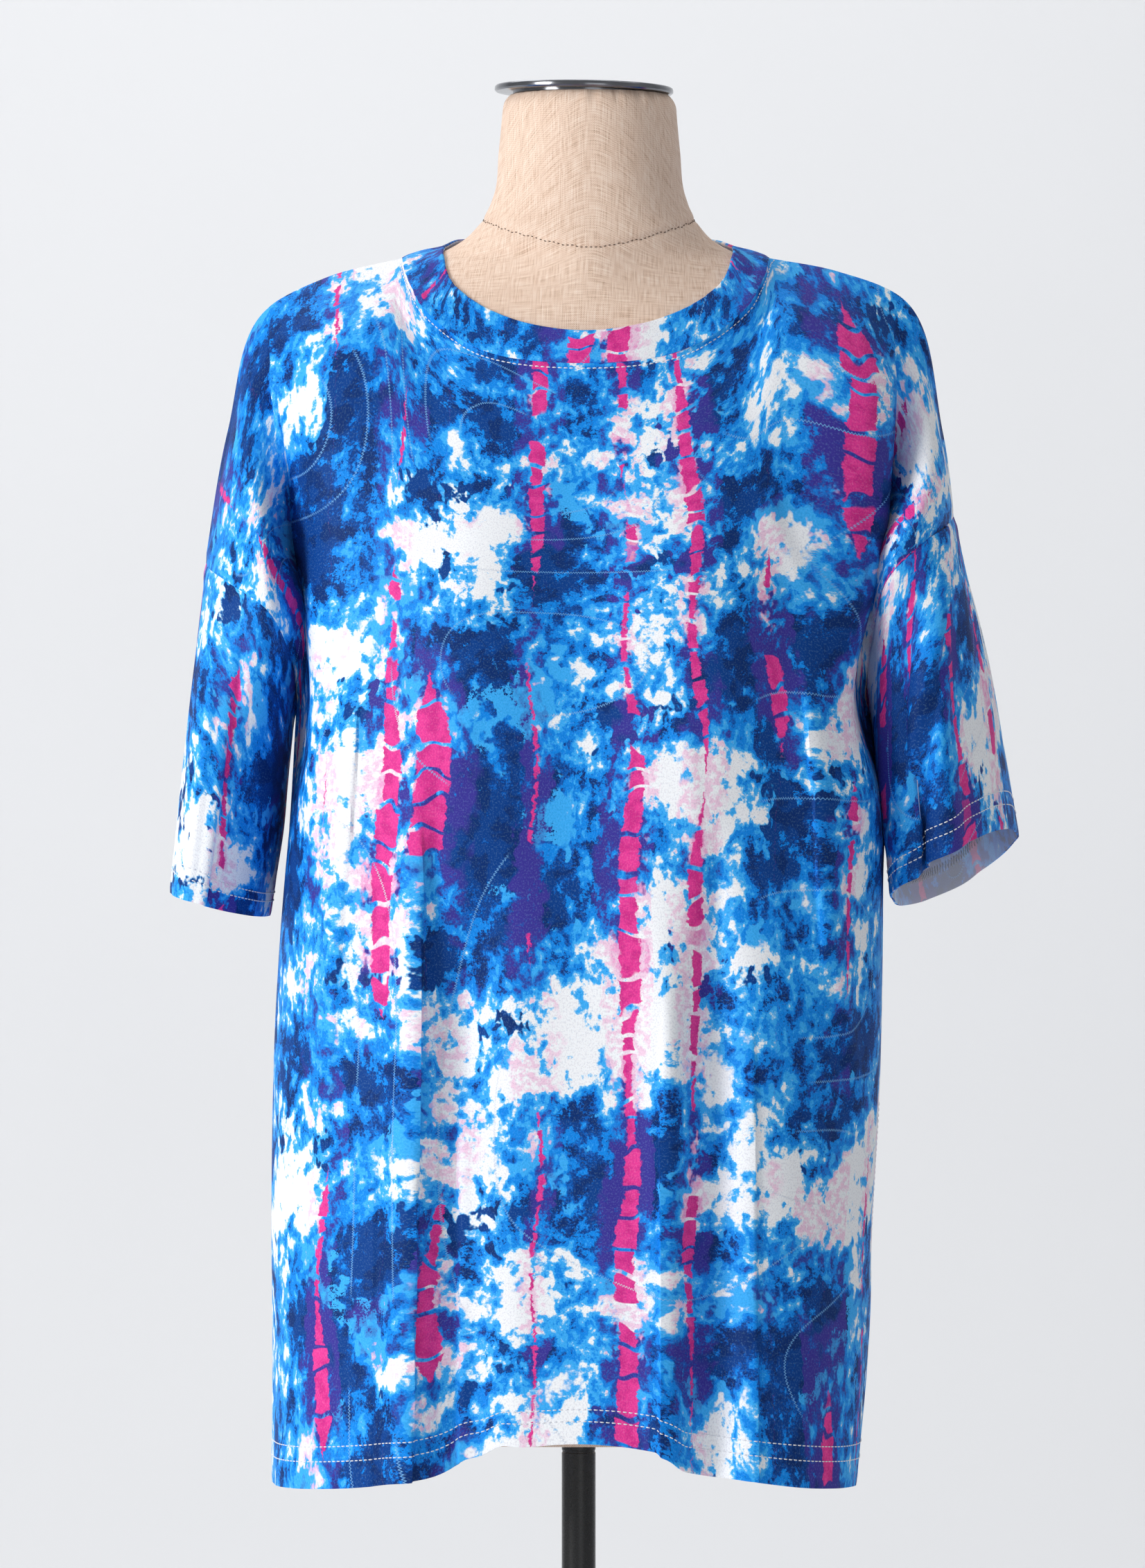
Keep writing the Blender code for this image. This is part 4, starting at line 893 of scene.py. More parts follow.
def make_stand():
    lid = TOTAL_HEIGHT - LID_DROP
    lid_foot = lid - LID_THICKNESS
    foot_radius = CAP_RADIUS - LID_FOOT_INSET
    cap = turned("cap_disc", [(0.0, lid - LID_DISH), (CAP_RADIUS - LID_RIM, lid - LID_DISH),
                              *rounded(CAP_RADIUS, lid, LID_BEVEL), (CAP_RADIUS, lid_foot + 0.0012),
                              (CAP_RADIUS - 0.0010, lid_foot + 0.0002), (CAP_RADIUS - 0.0040, lid_foot),
                              (foot_radius, lid_foot), (foot_radius, TOTAL_HEIGHT - CAP_THICKNESS),
                              (0.0, TOTAL_HEIGHT - CAP_THICKNESS)], LID_MIDDLE)
    cap.rotation_euler.y = LID_TILT
    cap.location.x -= LID_TILT * lid
    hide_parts("neck_cap")
    hub_top = BASE_THICKNESS + HUB_HEIGHT
    base = turned("base_plate", [(0.0, hub_top), *rounded(HUB_RADIUS, hub_top, BASE_BEVEL),
                                 (HUB_RADIUS, BASE_THICKNESS + 0.002),
                                 (HUB_RADIUS + SMALL_BEVEL, BASE_THICKNESS + SMALL_BEVEL),
                                 (HUB_RADIUS + 0.002, BASE_THICKNESS),
                                 *rounded(BASE_RADIUS, BASE_THICKNESS, BASE_BEVEL),
                                 (BASE_RADIUS, SMALL_BEVEL), (BASE_RADIUS - SMALL_BEVEL, 0.0), (0.0, 0.0)])
    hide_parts("stand_base")
    pole_top = TORSO_BOTTOM - TOUCHING_GAP
    pole_foot = hub_top + TOUCHING_GAP
    groove = POLE_RADIUS - GROOVE_DEPTH
    pole = turned("pole_tube", [(0.0, pole_top), (POLE_RADIUS, pole_top), (POLE_RADIUS, POLE_JOINT + 0.002),
                                (groove, POLE_JOINT + 0.0016), (groove, POLE_JOINT + 0.0004),
                                (POLE_RADIUS, POLE_JOINT), (POLE_RADIUS, pole_foot), (0.0, pole_foot)])
    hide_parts("stand_pole")
    for piece in (cap, base, pole):
        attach(piece, "root")
    return cap, pole, base


# ---- the shirt ------------------------------------------------------------------------------------------

ARMHOLE_ROWS = sum(ROWS_BETWEEN[:ARMHOLE_END])
SIDE_ROWS = sum(ROWS_BETWEEN[:SLIT_TOP])
SHOULDER_COLUMNS = sum(FRONT_STEPS[:COLLAR])  # as many on the back
NECK = slice(SHOULDER_COLUMNS, -SHOULDER_COLUMNS)
SIDES = slice(ARMHOLE_ROWS, SIDE_ROWS + 1)
# What the front and the back share: the two shoulder seams and the two side seams.
SHOULDERS = (slice(0, SHOULDER_COLUMNS + 1), slice(-SHOULDER_COLUMNS - 1, None))
SHARED_EDGES = ((0, SHOULDERS[0]), (0, SHOULDERS[1]), (SIDES, 0), (SIDES, -1))
FORM_GAP = 0.0003  # between the form and any cloth
NECK_ROWS = 60  # of a panel, where the neckline may be near
FRONT_PRINT, BACK_PRINT, BAND_PRINT = (0.0, 0.0), (0.83, 0.37), (5.2, 0.9)  # the places on the printed cloth
SLEEVE_PRINT = {"right": (2.1, 0.21), "left": (3.3, 0.58)}
WAVES = ((0.0007, (9, 16)), (0.00028, (26, 34)))  # heights and numbers of the panels' soft waves
CREASE_EDGE, WAVE_EDGE = 0.03, 0.02  # how near the seams they fade
SLEEVE_WAVE, SLEEVE_WAVE_FADE, SLEEVE_CREASE_FADE = 0.0006, 0.12, 0.35


def ring_noise(shape, cells, seed):
    """Soft noise that meets itself round a ring."""
    grains = np.random.default_rng(seed).uniform(-1, 1, (cells[0] + 3, cells[1]))
    grains = np.concatenate([grains[:, -2:], grains, grains[:, :3]], axis=1)
    rows = spline(np.arange(cells[0] + 3), grains, np.linspace(1, cells[0] + 1, shape[0]))
    at = 2 + np.arange(shape[1]) * cells[1] / shape[1]
    return spline(np.arange(grains.shape[1]), rows.T, at).T


def neck_distance(grid):
    """Distance of the cloth's upper points from the neckline, and 1 further down."""
    edge = grid[0, NECK]
    edge = read_line(np.linspace(0, len(edge) - 1, 3 * len(edge)), np.arange(len(edge)), edge)
    apart = np.ones(grid.shape[:2])
    for i in range(NECK_ROWS):
        apart[i] = np.linalg.norm(grid[i][:, None] - edge[None], axis=-1).min(axis=1)
    return apart


def beside_neck(outer, normals, apart, gap):
    """The line that runs beside the neckline at one distance, with its normals."""
    places, ups = [], []
    for j in range(outer.shape[1]):
        if apart[0, j] >= gap:
            continue
        i = int(np.argmax(apart[:, j] >= gap))
        share = (gap - apart[i - 1, j]) / (apart[i, j] - apart[i - 1, j])
        places.append(outer[i - 1, j] + share * (outer[i, j] - outer[i - 1, j]))
        ups.append(normals[i, j])
    return np.array(places), np.array(ups)


def dress(name, grid, normals, uv, hem_gap, seam_gap, ring):
    """Presses the seams in, thickens the hem and makes the shell, and gives its two faces. hem_gap and
    seam_gap are each point's distances from its hem and from its nearest seam."""
    dip = SEAM_DIP * bell(seam_gap, SEAM_REACH) - PUFF * bell(seam_gap - PUFF_BESIDE, PUFF_REACH)
    in_hem = 1 - smoothstep((hem_gap - HEM_DEPTH) / HEM_STEP)
    edge_round = EDGE_ROUND * (1 - np.clip(hem_gap / EDGE_REACH, 0, 1))
    out = SHELL_OUT - dip + HEM_PUFF * in_hem - edge_round
    into = SHELL_IN + dip + HEM_LAYER * in_hem - edge_round
    piece = cloth_shell(name, grid, normals, uv, out, into, ring)
    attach(piece, "root")
    return piece, grid + normals * out[..., None], grid - normals * into[..., None]


def panel(middle_rows, facing, steps, folds, creases, seed, form_tree):
    """A panel's middle surface with its creases, and the places of its columns and rows."""
    grid, across, down = panel_grid(middle_rows, facing, steps, folds)
    outward = grid_normals(grid) * -facing
    from_side = np.minimum(across, across[-1] - across)
    grid = creased(grid, outward, creases, smoothstep(from_side / CREASE_EDGE)[None])
    wave = sum(high * smooth_noise(grid.shape[:2], cells, seed + i) for i, (high, cells) in enumerate(WAVES))
    wave = wave * smoothstep(from_side / WAVE_EDGE)[None] * smoothstep(down / WAVE_EDGE)[:, None]
    grid = clear_of(nudged(grid + outward * wave[..., None]), form_tree, CLOTH_WALL / 2 + FORM_GAP)
    grid[:1, NECK] = clear_of(grid[:1, NECK], form_tree, COLLAR_CLEARANCE)
    return grid, across, down


def creased_sleeve(side, front, back):
    grid = sleeve_grid(side, front, back)
    shape = grid.shape[:2]
    down = np.linspace(0, 1, shape[0])
    degrees = np.arange(shape[1]) * 360 / shape[1]
    height = np.zeros(shape)
    for fold in SLEEVE_CREASES[side]:
        gap = (degrees[None] - fold.degrees - fold.turn * down[:, None] + 180) % 360 - 180
        grown = smoothstep((down - fold.begins) / SLEEVE_CREASE_FADE)
        reach = np.where(gap < 0, fold.half_width, fold.other_side)
        height += fold.height * grown[:, None] * bell(gap, reach)
    noise = ring_noise(shape, (5, 14), 41 + SIGN[side])
    height += smoothstep(down / SLEEVE_WAVE_FADE)[:, None] * SLEEVE_WAVE * noise
    return grid + grid_normals(grid, ring=True) * (-SIGN[side] * height)[..., None]


def join_normals(front, back, band, sleeves):
    """Gives the points that pieces share along a seam one normal, so that the seam is closed."""
    for edge in SHARED_EDGES:
        front[edge] = back[edge] = share_normals(front[edge], back[edge])
    for side, column in (("right", 0), ("left", -1)):
        ring = sleeves[side][0]
        for i in range(len(ring)):
            beside = [front[i, column] if i <= ARMHOLE_ROWS else back[len(ring) - i, column]]
            if i in (0, ARMHOLE_ROWS):
                beside.append(back[i, column])
            ring[i] = share_normals(ring[i], beside[0])
            for normal in beside:
                normal[:] = ring[i]
    front_neck, back_neck = front[0, NECK], back[0, NECK][::-1]
    count = len(front_neck)
    band[0, :count] = front_neck[:] = share_normals(band[0, :count], front_neck)
    band[0, count:] = back_neck[1:-1] = share_normals(band[0, count:], back_neck[1:-1])
    back_neck[0], back_neck[-1] = band[0, count - 1], band[0, 0]


def make_panel(name, grid, normals, across, down, printed_at, threads, laces):
    """A panel's shell. Its rows of stitches and its slits' overlock thread join the lists."""
    from_top, from_left = run_along(grid), run_along(grid, 1)
    neck_gap = neck_distance(grid)
    seam_gap = np.minimum(from_top, neck_gap)
    seam_gap[:, NECK] = neck_gap[:, NECK]
    from_side = np.minimum(from_left, from_left[:, -1:] - from_left)
    above_slit = (np.arange(len(down)) <= SIDE_ROWS)[:, None]
    seam_gap = np.where(above_slit, np.minimum(seam_gap, from_side), seam_gap)
    slit_gap = np.where(above_slit, 1.0, from_side)
    hem_gap = np.minimum(from_top[-1:] - from_top, slit_gap + HEM_DEPTH - SLIT_DEPTH)
    uv = np.stack(np.meshgrid(across, down), axis=-1) + printed_at
    piece, outer, inner = dress(name, grid, normals, uv, hem_gap, seam_gap, False)
    for row in HEM_ROWS:
        threads += stitches_along(at_row(outer, down, down[-1] - row), at_row(normals, down, down[-1] - row))
    threads += stitches_along(*beside_neck(outer, normals, neck_gap, BAND_ROW))
    for edge, beside, row in ((0, 3, SLIT_ROW), (-1, -4, across[-1] - SLIT_ROW)):
        lines = (at_row(net.transpose(1, 0, 2), across, row) for net in (outer, normals))
        threads += stitches_along(*(line[SIDE_ROWS - 2 * FINE :] for line in lines))
        laces.append(lace(inner[SIDE_ROWS:, edge], inner[SIDE_ROWS:, beside], normals[SIDE_ROWS:, edge]))
    return piece


def make_sleeve(side, grid, normals, threads, laces):
    """A sleeve's shell. Its rows of stitches and its hem's overlock thread join the lists."""
    from_top = run_along(grid)
    from_hem = from_top[-1:] - from_top
    around = run_along(np.concatenate([grid, grid[:, :1]], axis=1), 1)[2 * len(grid) // 3 :].mean(axis=0)
    down = from_top.mean(axis=1)
    uv = np.stack(np.meshgrid(around, down), axis=-1) + SLEEVE_PRINT[side]
    piece, outer, inner = dress(f"sleeve_cloth_{side}", grid, normals, uv, from_hem, from_top, True)
    for row in HEM_ROWS:
        at = down[-1] - row
        threads += stitches_along(at_row(outer, down, at), at_row(normals, down, at), closed=True)
    hem = down[-1] - HEM_DEPTH
    edge, beside = (at_row(inner, down, hem + at) for at in (-0.001, 0.008))
    laces.append(lace(edge, beside, at_row(normals, down, hem)))
    return piece


def make_shirt(form_tree, cloth, band_cloth, thread):
    """The shirt's pieces by name, and its two pieces of thread."""
    front, *front_places = panel(FRONT_MIDDLE, -1, FRONT_STEPS, FRONT_FOLDS, FRONT_CREASES, 11, form_tree)
    back, *back_places = panel(BACK_MIDDLE, 1, BACK_STEPS, BACK_FOLDS, BACK_CREASES, 23, form_tree)
    for edge in SHARED_EDGES:
        front[edge] = back[edge] = (front[edge] + back[edge]) / 2
    sleeves = {side: creased_sleeve(side, front, back) for side in SLEEVES}
    band = band_grid(front, back)
    band[0] = np.concatenate([front[0, NECK], back[0, NECK][::-1][1:-1]])
    band[1:] = clear_of(band[1:], form_tree, BAND_WALL / 2 + FORM_GAP)

    normals_front = grid_normals(front)
    normals_back = -grid_normals(back)
    normals_band = -grid_normals(band, ring=True)
    normals_sleeve = {side: grid_normals(grid, ring=True) * -SIGN[side] for side, grid in sleeves.items()}
    join_normals(normals_front, normals_back, normals_band, normals_sleeve)

    threads, laces = [], []
    pieces = {}
    for name, grid, normals, places, printed_at in (
        ("front_cloth", front, normals_front, front_places, FRONT_PRINT),
        ("back_cloth", back, normals_back, back_places, BACK_PRINT),
    ):
        pieces[name] = make_panel(name, grid, normals, *places, printed_at, threads, laces)
    for side, grid in sleeves.items():
        pieces[side] = make_sleeve(side, grid, normals_sleeve[side], threads, laces)
    pieces["band"] = make_band(band, normals_band)
    both = [gather("seam_stitches", threads), gather("overlock_thread", laces)]
    for piece in both:
        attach(piece, "root")
        piece.data.materials.append(thread)
    for name, piece in pieces.items():
        piece.data.materials.append(band_cloth if name == "band" else cloth)
    return pieces, both


FOLD_ROWS_FROM = 0.9  # of the band's width, from where its rows are finer
BAND_SWELL, BAND_RIPPLE = 0.0005, 0.00025
BAND_INSIDE = 0.92  # the inner face's share of the outer one's thickness


def make_band(band, normals):
    """The doubled neckband, with its fold rounded at the free edge."""
    near_fold = 1 - (1 - FOLD_ROWS_FROM) * (1 - np.linspace(0, 1, 7)) ** 2
    across = np.concatenate([np.linspace(0, FOLD_ROWS_FROM, 16, endpoint=False), near_fold])
    knots = np.linspace(0, 1, len(band))
    grid = spline(knots, band, across)
    direction = spline(knots, normals, across)
    direction /= np.linalg.norm(direction, axis=-1, keepdims=True)
    width = np.linalg.norm(band[-1] - band[0], axis=-1).mean()
    from_fold = np.clip((1 - across) * width / (BAND_WALL / 2), 0, 1)
    thick = BAND_WALL / 2 * np.sqrt(np.maximum(1 - (1 - from_fold) ** 2, 0.004))
    dip = SEAM_DIP * 1.2 * bell(across * width, 0.002)
    swell = BAND_SWELL * np.sin(np.pi * np.clip(across, 0, 1)) ** 2
    ripple = BAND_RIPPLE * ring_noise(grid.shape[:2], (2, 60), 5) * np.sin(np.pi * across)[:, None]
    out = (thick - dip + swell)[:, None] + ripple
    into = np.repeat((thick * BAND_INSIDE)[:, None], grid.shape[1], axis=1)
    around = run_along(np.append(band[0], band[0, :1], axis=0))
    uv = np.stack(np.meshgrid(around, across * width), axis=-1) + BAND_PRINT
    piece = cloth_shell("neckband_cloth", grid, direction, uv, out, into, True)
    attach(piece, "root")
    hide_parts("neckband")
    return piece


# ---- materials ------------------------------------------------------------------------------------------


def colour(text):
    """A linear colour from its hexadecimal form."""
    parts = [int(text[i : i + 2], 16) / 255 for i in (1, 3, 5)]
    return tuple(p / 12.92 if p <= 0.04045 else ((p + 0.055) / 1.055) ** 2.4 for p in parts) + (1.0,)


class Value:
    """What one node of a material works out. Arithmetic on it makes more nodes."""

    def __init__(self, wiring, socket):
        self.wiring = wiring
        self.socket = socket

    def calc(self, operation, *others):
        return self.wiring.node("Math", enumerate((self, *others)), operation=operation)

    def step(self, low, high):
        """0 at low, 1 at high, smooth between."""
        return self.wiring.node("MapRange", {"Value": self, "From Min": low, "From Max": high},
                                interpolation_type="SMOOTHSTEP")

    def swing(self, amount):
        """Noise about nothing, in place of noise about a half."""
        return (self - 0.5) * amount

    def __add__(self, other):
        return self.calc("ADD", other)

    def __sub__(self, other):
        return self.calc("SUBTRACT", other)

    def __mul__(self, other):
        return self.calc("MULTIPLY", other)

    def __truediv__(self, other):
        return self.calc("DIVIDE", other)


class Wiring:
    """Short calls for the nodes of one material."""

    def __init__(self, name):
        self.material = bpy.data.materials.new(name)
        self.material.use_nodes = True
        self.tree = self.material.node_tree
        self.shader = self.tree.nodes["Principled BSDF"]

    def give(self, socket, value):
        if isinstance(value, Value):
            self.tree.links.new(value.socket, socket)
        else:
            socket.default_value = value

    def node(self, kind, values=(), output=0, **settings):
        """A node's output, or a tuple of them where output is one."""
        made = self.tree.nodes.new("ShaderNode" + kind)
        for key, value in settings.items():
            setattr(made, key, value)
        for slot, value in dict(values).items():
            self.give(made.inputs[slot], value)
        if isinstance(output, tuple):
            return tuple(Value(self, made.outputs[slot]) for slot in output)
        return Value(self, made.outputs[output])

    def vector(self, x, y, z):
        return self.node("CombineXYZ", {"X": x, "Y": y, "Z": z})

    def moved(self, at, by):
        return self.node("VectorMath", {0: at, 1: by}, operation="ADD")

    def noise(self, at, scale, detail=2.0, roughness=0.5, output="Fac"):
        """Noise about a half. Its scale is one number, or one for each direction."""
        if isinstance(scale, tuple):
            at, scale = self.node("Mapping", {"Vector": at, "Scale": scale}), 1.0
        values = {"Vector": at, "Scale": scale, "Detail": detail, "Roughness": roughness}
        return self.node("TexNoise", values, output)

    def spread(self, value, low, high):
        """A value from 0 to 1 as one from low to high."""
        return self.node("MapRange", {"Value": value, "To Min": low, "To Max": high})

    def blend(self, share, first, second):
        return self.node("Mix", {0: share, 2: first, 3: second})

    def mix(self, share, first, second):
        """A blend of two colours, each a value or a hexadecimal text."""
        first, second = (colour(c) if isinstance(c, str) else c for c in (first, second))
        return self.node("Mix", {0: share, 6: first, 7: second}, 2, data_type="RGBA")

    def ramp(self, value, *stops):
        node = self.tree.nodes.new("ShaderNodeValToRGB")
        self.give(node.inputs["Fac"], value)
        points = node.color_ramp.elements
        while len(points) < len(stops):
            points.new(0.5)
        for point, (place, shade) in zip(points, stops):
            point.position = place
            point.color = colour(shade)
        return Value(self, node.outputs[0])

    def bump(self, height, distance, strength, **under):
        return self.node("Bump", {"Height": height, "Distance": distance, "Strength": strength, **under})

    def set(self, **values):
        """Sets the shader's sockets and returns the material."""
        for name, value in values.items():
            self.give(self.shader.inputs[name.replace("_", " ")], value)
        return self.material


# The print: patches of dye, and chains of pink dashes that run down the cloth.
PATCH_SCALE = 9.5
CHAIN_SPACING = 0.050
DASH_SCALE = 52.0
LINE_SCALE, LINE_COUNT, LINE_STEP = 5.5, 11.0, 0.002  # the tonal stitches' curves
ZIGZAG_PITCH, ZIGZAG_SWING = 0.0016, 0.0026
NAVY, DEEP_NAVY, BLUE, AZURE = "#033E8A", "#032C6C", "#065FBC", "#098AEB"
SKY, PALE, WHITE = "#3BB0FB", "#9ED7FC", "#F9FBFE"
PINK, DEEP_PINK, PURPLE, ROSE = "#EE3D98", "#D62C88", "#3E3497", "#F2A6D2"


def pink_chains(w, place, u, v, shift, strokes, second):
    """Chains of dashes, the dye beside each dash and the halo round each chain. A column of cloth has at most
    one chain, somewhere near its middle."""
    lean = w.noise(w.vector(u * 3.0, v * 5.0, 2.0), 1.0, 1.0).swing(0.045)
    column_at = (u + lean + w.noise(place, 190.0, 3.0, 0.65).swing(0.008)) / CHAIN_SPACING
    column = column_at.calc("FLOOR")
    chance = w.node("TexWhiteNoise", {"W": column + shift}, "Color", noise_dimensions="1D")
    one, two, three = w.node("SeparateColor", {0: chance}, (0, 1, 2))
    off = (column_at.calc("FRACT") - (one * 0.5 + 0.25)).calc("ABSOLUTE") * CHAIN_SPACING
    down_it = v * DASH_SCALE + column * 17.3 + w.noise(place, 45.0, 1.0).swing(1.5)

    def dashes(output, feature):
        return w.node("TexVoronoi", {"W": down_it, "Scale": 1.0, "Randomness": 1.0}, output,
                      voronoi_dimensions="1D", feature=feature)

    dash = dashes("Distance", "DISTANCE_TO_EDGE")
    dash_width, dash_kept, dash_faded = w.node("SeparateColor", {0: dashes("Color", "F1")}, (0, 1, 2))
    along = w.noise(w.vector(column * 5.1, v * 3.4, three), 1.0, 1.0)
    swell = w.noise(w.vector(column * 3.7, v * 6.5, one), 1.0, 0.0)
    swell = w.node("MapRange", {"Value": swell, "From Min": 0.35, "From Max": 0.62, "To Min": 0.35,
                                "To Max": 1.35})
    wide = (two.calc("POWER", 1.6) * 0.0078 + 0.0030) * swell
    half_width = wide * (dash_width * 0.55 + 0.65) * along.step(0.505, 0.555)
    halo = ((off + strokes.swing(0.022)) / (wide * 2.3 + 0.005)).step(1.05, 0.75)
    halo = halo * (along + second.swing(0.7)).step(0.45, 0.51)
    beside = (half_width * 1.9 - off).step(-0.0004, 0.0016) * dash.step(0.05, 0.14)
    beside = beside * dash_faded.step(0.55, 0.60)
    in_chain = (half_width - off).step(-0.0002, 0.0007) * dash.step(0.06, 0.11) * dash_kept.step(0.12, 0.16)
    return in_chain, beside, halo


def tonal_stitches(w, place, u, v):
    """Where fine stitches in long curves lie: a zigzag of even width beside each curve."""

    def field(du, dv):
        return w.noise(w.moved(place, (9.0 + du, 4.0 + dv, 5.0)), LINE_SCALE, 0.0) * LINE_COUNT

    here = field(0.0, 0.0)
    slope_u = (field(LINE_STEP, 0.0) - here) / LINE_STEP
    slope_v = (field(0.0, LINE_STEP) - here) / LINE_STEP
    slope = (slope_u * slope_u + slope_v * slope_v).calc("SQRT")
    from_line = (here.calc("FRACT") - 0.5) / slope.calc("MAXIMUM", 1.5)
    run = w.blend(slope_u.calc("ABSOLUTE").calc("GREATER_THAN", slope_v.calc("ABSOLUTE")), u, v)
    zigzag = ((run / ZIGZAG_PITCH).calc("PINGPONG", 0.5) - 0.25) * ZIGZAG_SWING
    thread = (from_line - zigzag).calc("ABSOLUTE").step(0.00052, 0.00024)
    return thread * w.noise(place, 7.0, 0.0).step(0.46, 0.50)


def printed_jersey(name, shift):
    """Tie-dye print on smooth jersey. It reads the flat cloth's places, so it follows every fold."""
    w = Wiring(name)
    place = w.moved(w.node("UVMap", uv_map="cloth"), (shift, shift * 0.37, 0.0))
    u, v = w.node("SeparateXYZ", {0: place}, (0, 1))

    # Dye that has crept: every patch's place is warped, and its edge is made of dabs that lie all ways.
    def crept(scale, detail, reach, offset=0.0):
        warp = w.noise(place, scale, detail, 0.6, "Color")
        warp = w.node("VectorMath", {0: warp, 1: (0.5 - offset,) * 3}, operation="SUBTRACT")
        return w.moved(place, w.node("VectorMath", {0: warp, 3: reach}, operation="SCALE"))

    crept_dabs = crept(60.0, 1.0, 0.010)

    def dabs(turn, seed):
        at = w.node("Mapping", {"Vector": crept_dabs, "Scale": (125.0, 78.0, 1.0), "Rotation": (0, 0, turn),
                                "Location": (seed, seed, seed)})
        return w.noise(at, 1.0, 2.0, 0.55)

    patches = w.noise(crept(26.0, 2.0, 0.022), PATCH_SCALE, 3.0, 0.60)
    strokes = w.blend(w.noise(place, 13.0, 0.0).step(0.47, 0.53), dabs(0.5, 0.0), dabs(-0.9, 3.0))
    strokes = w.blend(w.noise(place, 16.0, 0.0).step(0.50, 0.56), strokes, dabs(1.5, 7.0))
    grain = w.noise(place, 620.0, 2.0, 0.75)
    fine = w.noise(place, 190.0, 2.0, 0.6)
    blots = w.noise(crept(50.0, 2.0, 0.010, 0.1), 52.0, 3.0, 0.6)
    second = w.noise(crept(30.0, 2.0, 0.02, 0.3), 19.0, 3.0, 0.6)
    ragged_second = second + strokes.swing(0.40)
    dye = patches + strokes.swing(0.36) + blots.swing(0.30) + fine.swing(0.11)
    ground = w.ramp(dye + grain.swing(0.09), (0.0, BLUE), (0.446, BLUE), (0.462, AZURE), (0.500, AZURE),
                    (0.518, SKY), (0.542, SKY), (0.556, PALE), (0.570, WHITE))
    ground = w.mix(ragged_second.step(0.585, 0.615) * dye.step(0.60, 0.55), ground, SKY)
    dark = (dye + grain.swing(0.34) + second.swing(0.25)).step(0.432, 0.424)
    dark = dark.calc("MAXIMUM", ragged_second.step(0.385, 0.365) * dye.step(0.57, 0.54))
    ground = w.mix(dark, ground, w.mix(blots.step(0.42, 0.50), DEEP_NAVY, NAVY))

    in_chain, beside, halo = pink_chains(w, place, u, v, shift, strokes, second)
    purple = (dark * 0.85 + dye.step(0.50, 0.44) * 0.40).calc("MINIMUM", 1.0)
    ground = w.mix(halo * purple, ground, PURPLE)
    ground = w.mix(halo * dye.step(0.552, 0.57) * fine.step(0.40, 0.60) * 0.55, ground, ROSE)
    ground = w.mix(beside * fine.step(0.62, 0.44), ground, w.mix(dye.step(0.50, 0.56), PURPLE, ROSE))
    printed = w.mix(in_chain, ground, w.mix(w.noise(place, 120.0).step(0.35, 0.60), DEEP_PINK, PINK))

    thread = tonal_stitches(w, place, u, v)
    printed = w.mix(thread * 0.74, printed, w.mix(dye.step(0.52, 0.57), "#7DBDF8", "#E4EAF6"))

    # The knit's loops, and the paler wrong side.
    knit = w.noise(place, (1900.0, 1150.0, 1.0), 1.0, 0.6)
    loops = w.noise(place, (1000.0, 760.0, 1.0), 2.0, 0.7)
    printed = w.mix(loops.step(0.56, 0.34) * 0.20, printed, NAVY)
    printed = w.mix(loops.step(0.50, 0.68) * (dark * 0.02 + 0.09), printed, PALE)
    wrong_side = w.node("Attribute", output="Fac", attribute_name="inside")
    printed = w.mix(wrong_side * 0.50, printed, "#F4F5FA")
    normal = w.bump(thread, 0.0005, 0.55, Normal=w.bump(knit, 0.00022, 0.55))
    return w.set(Base_Color=printed, Roughness=w.spread(knit, 0.50, 0.68), Normal=normal, Sheen_Weight=0.01,
                 Sheen_Roughness=0.4, Specular_IOR_Level=0.11)


WEAVE_PITCH = 0.0014  # between the linen's threads


def linen():
    """Unbleached canvas over the form: a plain weave with thick and thin threads."""
    w = Wiring("linen_canvas")
    flat = w.node("UVMap", uv_map="cloth")
    u, v = w.node("SeparateXYZ", {0: flat}, (0, 1))
    turns = math.tau / WEAVE_PITCH
    weave = (u * turns).calc("SINE") * (v * turns).calc("SINE")
    threads = w.noise(flat, (60.0, 1400.0, 1.0), 2.0, 0.6) + w.noise(flat, (1400.0, 60.0, 1.0), 2.0, 0.6)
    slub = threads * 0.5 + (weave * 0.5 + 0.5) * 0.17
    shade = w.ramp(slub, (0.37, "#A58771"), (0.50, "#DABBA5"), (0.59, "#EACFBB"), (0.74, "#F6E4D5"))
    shade = w.mix(w.noise(flat, 9.0).step(0.55, 0.75) * 0.14, shade, "#CBAE99")
    return w.set(Base_Color=shade, Roughness=0.88, Normal=w.bump(slub, 0.0005, 0.6), Sheen_Weight=0.06,
                 Specular_IOR_Level=0.2)


def thread_material(name, shade, dark):
    w = Wiring(name)
    place = w.node("TexCoord", output="Object")
    twist = w.node("TexWave", {"Vector": place, "Scale": 900.0, "Distortion": 1.5, "Detail": 1.0}, "Fac",
                   bands_direction="DIAGONAL")
    return w.set(Base_Color=w.mix(twist, dark, shade), Roughness=0.6, Normal=w.bump(twist, 0.0001, 0.5),
                 Sheen_Weight=0.1)


def polished_metal():
    w = Wiring("polished_steel")
    place = w.node("TexCoord", output="Object")
    smudge = w.noise(place, 55.0, 3.0)
    rings = w.noise(place, (30.0, 30.0, 2600.0), 2.0)
    return w.set(Base_Color=w.mix(smudge, "#6E7075", "#8F9196"), Metallic=1.0,
                 Roughness=w.spread(smudge, 0.08, 0.24), Normal=w.bump(rings, 0.00006, 0.4))


def black_paint(name, low, high, grit):
    w = Wiring(name)
    place = w.node("TexCoord", output="Object")
    texture = w.noise(place, grit, 3.0, 0.6)
    return w.set(Base_Color=w.mix(w.noise(place, 18.0), "#141516", "#1D1E20"),
                 Roughness=w.spread(texture, low, high), Normal=w.bump(texture, 0.00012, 0.35),
                 Specular_IOR_Level=0.5)


